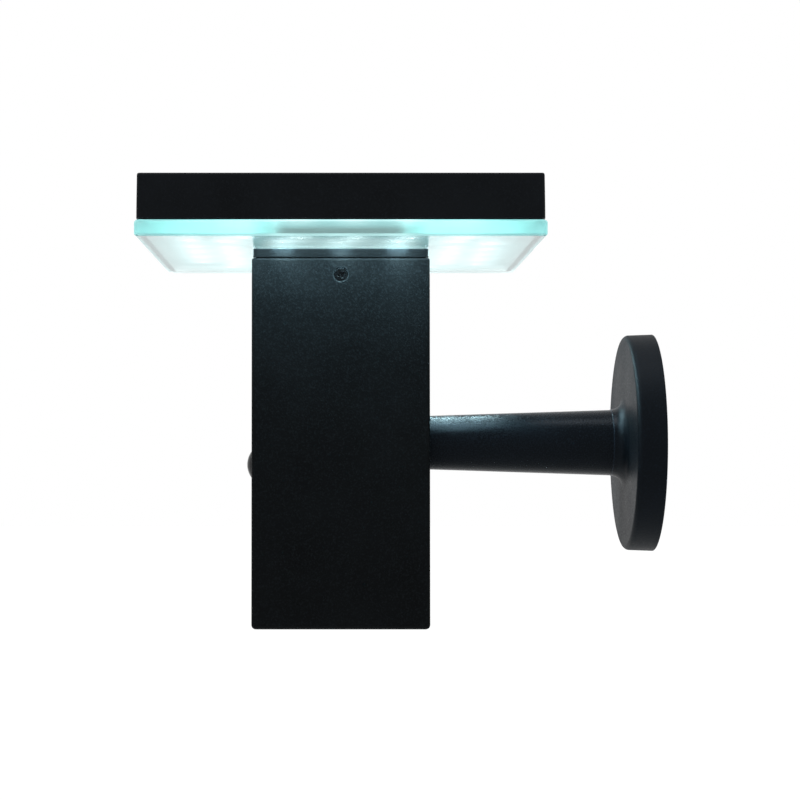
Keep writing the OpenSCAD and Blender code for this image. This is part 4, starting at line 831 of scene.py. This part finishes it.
@dataclass
class LampUnit(SubAssembly):
    """The lamp board with its diodes over the diffuser glass.

    Halo and spread are how far a lamp's painted light spreads on the board round it, strongly and faintly.
    Near, beside and close are the same for the glass's painted glow: in the plate, on its walls and by the
    neck.
    Each span says where an effect starts and where it is full, as a distance from the plate's middle, or as a
    share of half its width or of its thickness. Hole share is the size of the opening's arris against the
    plate's.
    """

    board_hole: float = 27 * MM
    glass_hole: float = 26 * MM
    arris: float = 0.8 * MM
    arris_soft: float = 0.12 * MM
    plate_corner: float = 2.4 * MM
    hole_corner: float = 4 * MM
    hole_share: float = 0.5
    margin: float = 1.6 * MM
    wall_from: float = 1.3 * MM
    wall_rows: int = 7
    under_rows: int = 14
    flat_share: float = 0.01
    plate_steps: tuple[int, int] = (10, 40)
    board_rows: int = 22
    board_steps: tuple[int, int] = (4, 48)
    diode_half: Pair = (1.75 * MM, 1.4 * MM)
    diode_corner: float = 0.25
    halo: float = 3.0 * MM
    spread: float = 7.0 * MM
    spread_share: float = 0.02
    near: float = 9 * MM
    beside: float = 5.5 * MM
    close: float = 4 * MM
    middle_span: Pair = (33 * MM, 25 * MM)
    front_span: Pair = (77 * MM, 33 * MM)
    rim_span: Pair = (58 * MM, 66 * MM)
    corner_span: Pair = (0.86, 0.96)
    lift_span: Pair = (0.4, 0.7)
    top_span: Pair = (0.9 / 2.2, 1.9 / 2.2)
    arris_span: Pair = (0.16, 0.0)
    # The glass's painted glow: haze, painted shade in front of the neck, and painted light by lamps, arris and
    # neck.
    haze: float = 0.14
    neck_shade: float = 0.8
    lift_glow: Pair = (0.07, 0.15)
    arris_glow: float = 0.05
    end_glow: float = 0.06
    under_glow: Triple = (0.03, 0.02, 0.028)
    neck_glow: Pair = (0.15, 0.3)
    flank: float = 0.3
    wall_pale: Triple = (0.7, 0.3, 0.6)
    front_pale: float = 3.0
    top_frost: float = 0.14
    side_frost: float = 0.3
    under_frost: float = 0.17
    corner_frost: float = 0.45
    light_size: float = 5 * MM
    light_drop: float = 0.5 * MM
    light_power: float = 0.017
    lamps: Array = field(init=False)

    def find_lamps(self) -> None:
        """Reads the middles of the diodes' faces from the frame's own solids, a row of three for each."""
        node = frame["nodes"]["leds"]
        points = np.empty(len(node.data.vertices) * 3)
        node.data.vertices.foreach_get("co", points)
        points = points.reshape(-1, 3)
        step, layer = 6 * MM, 0.1 * MM
        face = points[points[:, 2] < points[:, 2].min() + layer]
        close = np.linalg.norm(face[:, None, :2] - face[None, :, :2], axis=2) < step
        means = close @ face / close.sum(1, keepdims=True)
        cells = np.round(means / step).astype(int)
        keys = np.unique(cells, axis=0, return_inverse=True)[1].ravel()
        groups = [face[keys == k] for k in range(keys.max() + 1)]
        self.lamps = np.array([(group.min(0) + group.max(0)) / 2 for group in groups])
        LOG.info("lamps found: %d", len(self.lamps))

    @staticmethod
    def glow_at(points: Array, lamps: Array, reach: float) -> Array:
        """Gives how bright the lamps make each point.

        The formula: the sum over the lamps of e to the power of minus the squared distance over twice the
        squared reach.

        Args:
            points: Points on a piece.
            lamps: Middles of the lamps.
            reach: How far the light of one lamp spreads.

        Returns:
            One number for each point.
        """
        away = np.linalg.norm(points[:, None, :2] - lamps[None, :, :2], axis=2)
        return np.exp(-(away**2) / (2 * reach**2)).sum(1)

    def board(self) -> None:
        """Makes the board: a section from the window to the edge, carried round the square, with a painted
        pool of lamp light round each diode.
        """
        low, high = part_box("led_board")
        mid, half, rows = (low + high) / 2, (high.x - low.x) / 2, self.board_rows
        share = np.linspace(0.0, 1.0, rows)
        across = np.concatenate([share, share[::-1]])
        z = np.repeat([low.z, high.z], rows)
        ring = rounded_square(self.board_hole + across * (half - self.board_hole), (1 + across) * MM,
                              *self.board_steps)
        grid = raised(ring + [mid.x, mid.y], z)
        mesh = skin("lamp_board", grid[None], (True, True))
        flat = grid.reshape(-1, 3)
        faint = self.spread_share * self.glow_at(flat, self.lamps, self.spread)
        # Painted light: a pool of lamp light round each diode, painted as the board's glow.
        attach(mesh, self.glow_at(flat, self.lamps, self.halo) + faint)
        made = piece("lamp_board", mesh, BOARD_GLOW, ("led_board",))
        made.visible_diffuse = False

    def glass(self) -> None:
        """Makes the glass plate: a section with arrissed edges, carried round the square and its opening.

        The formula: for each point of the section the outline's half width, corner radius and height. The
        outer points run from the plate's underside up to its top, the inner ones back down the opening, and
        the last ones out along the underside.
        """
        low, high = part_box("diffuser_glass")
        mid, half, rise = (low + high) / 2, (high.x - low.x) / 2, high.z - low.z
        cut, soft = self.arris, self.arris_soft
        steps = np.array([(self.margin, 0.0), (cut + soft, 0.0), (cut, 0.02 * MM), (cut - soft, 0.1 * MM),
                          (soft, cut - soft), (0.02 * MM, cut), (0.0, cut + soft)])
        wall = np.linspace(self.wall_from, rise - self.wall_from, self.wall_rows)
        wall = np.stack([0.0 * wall, wall], -1)
        outer = np.concatenate([steps, wall, (steps * [1, -1] + [0, rise])[::-1]])
        inner = outer[::-1]
        widen = inner[:, 0] * self.hole_share
        inset = np.concatenate([half - outer[:, 0], self.glass_hole + widen])
        corner = np.concatenate([self.plate_corner - outer[:, 0], self.hole_corner + widen])
        share = np.linspace(0.0, 1.0, self.under_rows + 2)[1:-1]
        inset = np.append(inset, inset[-1] + share * (inset[0] - inset[-1]))
        corner = np.append(corner, corner[-1] + share * (corner[0] - corner[-1]))
        height = low.z + np.concatenate([outer[:, 1], inner[:, 1], 0.0 * share])
        ring = rounded_square(inset, corner, *self.plate_steps)
        grid = raised(ring + [mid.x, mid.y], height)
        mesh = skin("glass_plate", grid[None], (True, True))
        flat = grid.reshape(-1, 3)
        rise_share = (flat[:, 2] - low.z) / rise
        offset = flat[:, :2] - [mid.x, mid.y]
        along, out = np.abs(offset).min(1), np.abs(offset).max(1)
        side = out > half - cut - soft
        corners = self.corner_frost * ramp(along / half, self.corner_span)
        faces = [rise_share > 1.0 - self.flat_share, rise_share < self.flat_share]
        frost = np.select(faces, [self.top_frost, self.under_frost], self.side_frost + side * corners)
        glow, pale = self.shine(offset, along, out, rise_share, side, self.lamps - [mid.x, mid.y, 0.0])
        attach(mesh, frost, "frost")
        attach(mesh, glow)
        attach(mesh, pale, "pale")
        smooth(mesh)
        piece("glass_plate", mesh, DIFFUSER, ("diffuser_glass",))

    def shine(self, offset: Array, along: Array, out: Array, rise: Array,
              side: Array, lamps: Array) -> tuple[Array, Array]:
        """Gives the plate's painted glow, standing in for lamp light carried in the glass, and how pale it is,
        for each point.

        The formula: a wall has the haze, less in its middle as painted shade in front of the neck, and more by
        the lamps, towards its top. Its lower arris has a paler painted highlight. The underside glows faintly,
        a little more by the lamps and at the rim, and grows brighter and paler towards the neck, as painted
        light.

        Args:
            offset: Points in plan, from the plate's middle.
            along: The smaller of a point's two distances from the middle.
            out: The larger of them.
            rise: Height in the plate, from 0 to 1.
            side: Whether a point is on an outer wall.
            lamps: Middles of the lamps, from the plate's middle.

        Returns:
            Painted glow and its paleness.
        """
        row = np.abs(lamps[:, :2]).max()
        near = self.glow_at(offset, lamps, self.near)
        beside = self.glow_at(np.clip(offset, -row, row), lamps, self.beside)
        middle = ramp(along, self.middle_span)
        lift = middle * ramp(rise, self.lift_span)
        arris = ramp(rise, self.arris_span)
        ends = beside * (1.0 - middle)
        front = middle * ramp(out, self.front_span)
        front = front * np.where(np.abs(offset[:, 1]) < out, self.flank, 1.0)
        base, gain = self.lift_glow
        # Painted glow on the walls, lowered in front of the neck as painted shade.
        wall = self.haze * (1.0 - self.neck_shade * middle) + ramp(rise, self.top_span) * near
        wall = wall + lift * (base + gain * beside) + self.arris_glow * arris + self.end_glow * ends
        base, rim_gain, gain = self.under_glow
        # Painted glow on the underside, brighter by the lamps, at the rim and towards the neck.
        under = base + rim_gain * ramp(out, self.rim_span) + gain * near
        base, gain = self.neck_glow
        under = under + front * (base + gain * self.glow_at(offset, lamps, self.close))
        by_lamp, at_end, at_arris = self.wall_pale
        pale = by_lamp * lift * beside * rise + at_end * ends + at_arris * arris
        pale = np.where(side, pale, self.front_pale * front)
        return np.where(side, wall, under), np.clip(pale, 0.0, 1.0)

    def diodes(self) -> None:
        """Makes the diodes: a body with a bevelled rim, which glows with painted light, and a slightly domed
        window in it, which is the lamp.

        The formula: rings of one rounded rectangle, each with its own inset and height, carried to each lamp.
        """
        low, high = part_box("leds")
        tall = high.z - low.z
        insets = np.array([0.0, 0.0, 0.12, 0.34, 0.46]) * MM
        depths = np.array([0.0, 0.8, 1.0, 1.0, 0.82]) * tall
        # The bodies glow with painted light from their windows; only the windows are lamps.
        self.stack("lamp_diodes", insets, high.z - depths, DIODE_BODY_GLOW, ("leds",))
        insets = np.array([0.45, 0.45, 0.7, 1.0, 1.3]) * MM
        depths = np.array([0.55, 0.83, 0.9, 0.94, 0.96]) * tall
        self.stack("lamp_windows", insets, high.z - depths, PHOSPHOR, ())

    def stack(self, name: str, insets: Array, heights: Array, finish: Finish,
              replaced: tuple[str, ...]) -> None:
        """Makes one closed form of stacked rings for each lamp.

        Args:
            name: Name of the piece.
            insets: How far each ring lies inside the diode's outline.
            heights: Height of each ring.
            finish: Finish of the piece.
            replaced: Nodes that it stands for.
        """
        reach = np.stack([half - insets for half in self.diode_half], -1)
        rings = rounded_square(1.0, self.diode_corner) * reach[:, None, :]
        offset = self.lamps * [1.0, 1.0, 0.0]
        grids = raised(rings, heights)[None] + offset[:, None, None, :]
        mesh = skin(name, grids[:, :, ::-1], (False, True), True)
        attach(mesh, np.ones(len(mesh.vertices)))
        made = piece(name, mesh, finish, replaced)
        made.visible_diffuse = False

    def light(self) -> None:
        """Hangs a small soft light under the glass for each lamp."""
        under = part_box("diffuser_glass")[0].z - self.light_drop
        for k, (x, y, _) in enumerate(self.lamps.tolist()):
            hang(f"lamp_light_{k:02d}", (self.light_size,), self.light_power, (x, y, under))

    def build(self) -> None:
        """Makes the glass, the board, the diodes and their light."""
        self.find_lamps()
        self.glass()
        self.board()
        self.diodes()
        self.light()


@dataclass
class ColumnScrews(SubAssembly):
    """The two countersunk screws that clamp the column to its neck, seated a little below the column's face.

    Land is the height of the head's upright rim. The cross has arms of half width slot and length reach, with
    walls that slope over steep at their sides and over gentle at their ends. Blunt is the radius of the tip,
    and cone the radius and height that it widens to. The thread starts run_in above the tip and ends run_out
    below the head's cone.
    """

    sink: float = 0.35 * MM
    shank: float = 1.5 * MM
    length: float = 9 * MM
    blunt: float = 0.6 * MM
    cone: Pair = (1.125 * MM, 0.35 * MM)
    run_in: float = 0.5 * MM
    run_out: float = 0.1 * MM
    pitch: float = 0.5 * MM
    thread_depth: float = 0.27 * MM
    turn_steps: int = 5
    face_edge: float = 0.08 * MM
    face_middle: float = 0.02 * MM
    land: float = 0.06 * MM
    recess_depth: float = 1.1 * MM
    slot: float = 0.42 * MM
    steep: float = 0.14 * MM
    reach: float = 1.7 * MM
    gentle: float = 0.6 * MM
    turns: Pair = (24.0, -8.0)
    bright: float = 0.8
    columns: int = 96
    rings: int = 34

    def recess(self, u: Array, v: Array) -> Array:
        """Gives how deep the cross recess lies below the head's face.

        The formula: each arm of the cross falls steeply from its two sides and gently from its ends, down to
        one greatest depth. Where two arms meet, the deeper one counts.

        Args:
            u: Places across the head.
            v: Places up the head.

        Returns:
            The depths.
        """
        arms = [np.minimum((self.slot - np.abs(b)) / self.steep, (self.reach - np.abs(a)) / self.gentle)
                for a, b in ((u, v), (v, u))]
        return self.recess_depth * np.clip(np.maximum(*arms), 0.0, 1.0)

    def screw(self, radius: float, turn: float) -> Array:
        """Gives the grid of one screw, with its axis up and its head's face at height 0.

        The formula: rows run from the tip up a shank whose radius falls and rises once for each turn of the
        thread, up the head's cone, over its rim and in to the middle, where the cross recess is sunk.

        Args:
            radius: Radius of the head.
            turn: Turn of the cross, in degrees.

        Returns:
            Points, as rows, columns, three lengths and how deep each is sunk.
        """
        shank, land, length = self.shank, self.land, self.length - self.sink
        angle = np.arange(self.columns) / self.columns * 2 * math.pi
        neck = shank - radius - land
        thread = np.arange(self.run_in - length, neck - self.run_out, self.pitch / self.turn_steps)
        phase = (thread[:, None] / self.pitch - angle[None, :] / (2 * math.pi)) % 1.0
        threaded = shank - self.thread_depth * (1.0 - np.abs(2 * phase - 1))
        face = np.linspace(radius - self.face_edge, self.face_middle, self.rings)
        reach = np.concatenate([[self.blunt, self.cone[0]], [shank, radius, radius], face])
        height = np.concatenate([[-length, self.cone[1] - length], [neck, -land, -land / 2], 0.0 * face])
        reach = np.repeat(reach[:, None], self.columns, 1)
        height = np.repeat(height[:, None], self.columns, 1)
        reach = np.concatenate([reach[:2], threaded, reach[2:]])
        height = np.concatenate([height[:2], np.repeat(thread[:, None], self.columns, 1), height[2:]])
        u, v = reach * np.cos(angle), reach * np.sin(angle)
        c, s = math.cos(math.radians(turn)), math.sin(math.radians(turn))
        sunk = np.where(height == 0.0, self.recess(c * u + s * v, c * v - s * u), 0.0)
        return np.stack([u, v, height - sunk, sunk], -1)

    def build(self) -> None:
        """Makes both screws in the place of the frame's own, with heads small enough for the countersinks."""
        low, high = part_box("body_screws")
        mid, face = (low + high) / 2, high.y
        radius = (high.x - low.x) / 2 - self.sink - self.land
        grids, wear = [], []
        for side, turn in zip((-1.0, 1.0), self.turns):
            u, v, w, sunk = np.moveaxis(self.screw(radius, turn), -1, 0)
            y = mid.y + side * (face - mid.y - self.sink + w)
            grids.append(np.stack([mid.x - side * u, y, mid.z + v], -1))
            share = np.clip(sunk / self.recess_depth, 0.0, 1.0)
            wear.append(self.bright * np.sin(math.pi * share).ravel() ** 2)
        mesh = skin("column_screws", np.stack(grids), (False, True), True)
        attach(mesh, np.concatenate(wear), "wear")
        smooth(mesh, 35.0)
        piece("column_screws", mesh, WORN_OXIDE, ("body_screws",))


# Stage


@dataclass(frozen=True)
class Stage:
    """The floor, the world and the soft daylight."""

    floor_z: float = -0.42
    floor_half: float = 12.0
    sky: float = 0.54
    sun: float = 1.7
    sun_angle: float = 30.0
    sun_turn: Triple = (9.0, -10.0, 0.0)
    white: Colour = (1.0, 1.0, 1.0)
    floor_tones: Pair = (0.88, 0.9)
    floor_patch: float = 0.4
    floor_glow: float = 0.1

    def floor(self) -> None:
        """Lays a pale floor that keeps the light's shadow."""
        mesh = bpy.data.meshes.new("floor")
        a, z = self.floor_half, self.floor_z
        mesh.from_pydata([(-a, -a, z), (a, -a, z), (a, a, z), (-a, a, z)], [], [(0, 1, 2, 3)])
        graph = Graph("pale floor")
        tone = graph.spread(graph.noise(self.floor_patch), 0.0, 1.0)
        graph.put(Base_Color=graph.mix(tone, *((grey, grey, grey) for grey in self.floor_tones)),
                  Roughness=0.9, Specular_IOR_Level=0.1, Emission_Color=self.white,
                  Emission_Strength=self.floor_glow)
        mesh.materials.append(graph.material)
        show("floor", mesh)

    def world(self) -> None:
        """Makes the world white where it is seen, also in metal and glass, and a little lower as light."""
        world = bpy.context.scene.world = bpy.data.worlds.new("world")
        nodes = Nodes(world)
        path = nodes.node("LightPath").outputs
        seen = path["Is Camera Ray"]
        for kind in ("Is Glossy Ray", "Is Transmission Ray"):
            seen = nodes.calc("MAXIMUM", seen, path[kind])
        level = nodes.spread(seen, self.sky, 1.0, 0.0, 1.0)
        back = nodes.node("Background", Color=self.white, Strength=level)
        nodes.join(back.outputs[0], nodes.node("OutputWorld").inputs["Surface"])

    def daylight(self) -> None:
        """Hangs one broad sun from the front left."""
        data = bpy.data.lights.new("daylight", "SUN")
        data.energy = self.sun
        data.angle = math.radians(self.sun_angle)
        show("daylight", data).rotation_euler = [math.radians(a) for a in self.sun_turn]

    def build(self) -> None:
        """Makes floor, world and daylight, and the plain view transform."""
        self.floor()
        self.world()
        self.daylight()
        bpy.context.scene.view_settings.view_transform = "Standard"


@dataclass(frozen=True)
class NeckLight:
    """Light that leaves the glass close to the neck: a strip along each side, and patches by the lamps."""

    width: float = 10 * MM
    drop: float = 0.3 * MM
    gap: float = 0.1 * MM
    strength: float = 19.0
    patch: Pair = (7 * MM, 1 * MM)
    patch_strength: float = 400.0
    pitch: float = 21.7 * MM

    def build(self) -> None:
        """Hangs a strip and three patches along each side of the neck."""
        low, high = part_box("neck")
        mid, wide = (low + high) / 2, high.x - low.x
        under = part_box("diffuser_glass")[0].z - self.drop
        spots = [("light", "", 0.0, (wide, self.width), self.strength)]
        for j in (-1, 0, 1):
            spots.append(("patch", f"_{j + 1}", j * self.pitch, self.patch, self.patch_strength))
        for side in range(4):
            turn = side * math.pi / 2
            for kind, end, shift, size, strength in spots:
                out = (wide + size[1]) / 2 + self.gap
                place = (mid.x + out * math.sin(turn) + shift * math.cos(turn),
                         mid.y - out * math.cos(turn) + shift * math.sin(turn), under)
                energy = strength * math.pi * size[0] * size[1]
                hang(f"neck_{kind}_{side}{end}", size, energy, place, turn)


@dataclass(frozen=True)
class Camera:
    """The camera at the photograph's place."""

    place: Triple = (-0.1231, -0.8178, -0.007)
    pitch: float = 91.676
    lens: float = 92.72
    sensor: float = 36.0
    shift: float = 0.074
    clip: Pair = (0.01, 100.0)

    def build(self) -> None:
        """Sets the scene's camera."""
        data = bpy.data.cameras.new("camera")
        data.sensor_width = self.sensor
        data.lens = self.lens
        data.shift_x = self.shift
        data.clip_start, data.clip_end = self.clip
        camera = show("camera", data)
        camera.location = self.place
        camera.rotation_euler = (math.radians(self.pitch), 0.0, 0.0)
        bpy.context.scene.camera = camera


def main() -> None:
    """Builds stage, camera and light, and dresses every node."""
    logging.basicConfig(level=logging.INFO, format="%(message)s")
    Camera().build()
    Stage().build()
    low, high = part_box("solar_cells")
    cells = Silicon("solar cell", (0.003, 0.008, 0.028), middle=((low.x + high.x) / 2, (low.y + high.y) / 2))
    groups = [
        SubAssembly({
            "head_housing": HEAD_COAT, "solar_cover_glass": COVER, "solar_cells": cells,
            "cell_ribbons": RIBBON, "solar_backsheet": BACKSHEET, "panel_adhesive": BLACK_SEAL,
            "glass_gasket": BLACK_SEAL,
        }),
        LampUnit({
            "led_board_screws": STEEL, "led_connector": WHITE_PLASTIC,
        }),
        SubAssembly({
            "neck": COAT, "neck_gasket": PALE_SEAL, "neck_screws": STEEL, "wire_grommet": BLACK_SEAL,
            "body_shell": COAT, "body_gasket": BLACK_SEAL,
            "inner_frame": WHITE_PLASTIC, "frame_screws": STEEL,
        }),
        ColumnScrews(),
        SubAssembly({
            "control_board": GREEN_BOARD, "board_components": CHIP_PLASTIC, "board_connectors": WHITE_PLASTIC,
            "board_screws": STEEL, "pir_sensor": BRASS, "pir_lens": LENS, "pir_seal": BLACK_SEAL,
        }),
        SubAssembly({
            "battery_holder": BLACK_PLASTIC, "battery_cells": BLUE_WRAP, "battery_contacts": BRASS,
            "holder_screws": STEEL,
        }),
        SubAssembly({
            "switch_body": BLACK_PLASTIC, "switch_button": BLACK_PLASTIC, "switch_spring": STEEL,
            "switch_seal": BLACK_SEAL, "switch_nut": ZINC, "switch_base": BROWN_PLASTIC,
            "switch_terminals": BRASS,
        }),
        SubAssembly({
            "panel_leads": RED_SLEEVE, "led_leads": RED_SLEEVE, "battery_leads": RED_SLEEVE,
            "switch_leads": RED_SLEEVE,
        }),
        SubAssembly({
            "arm": ARM_COAT, "arm_screws": STEEL, "arm_washers": STEEL, "arm_seal": BLACK_SEAL,
            "wall_bracket": ZINC, "grub_screw": OXIDE, "wall_gasket": BLACK_SEAL,
        }),
    ]
    for group in groups:
        group.paint()
        group.build()
    NeckLight().build()


if __name__ == "__main__":
    main()
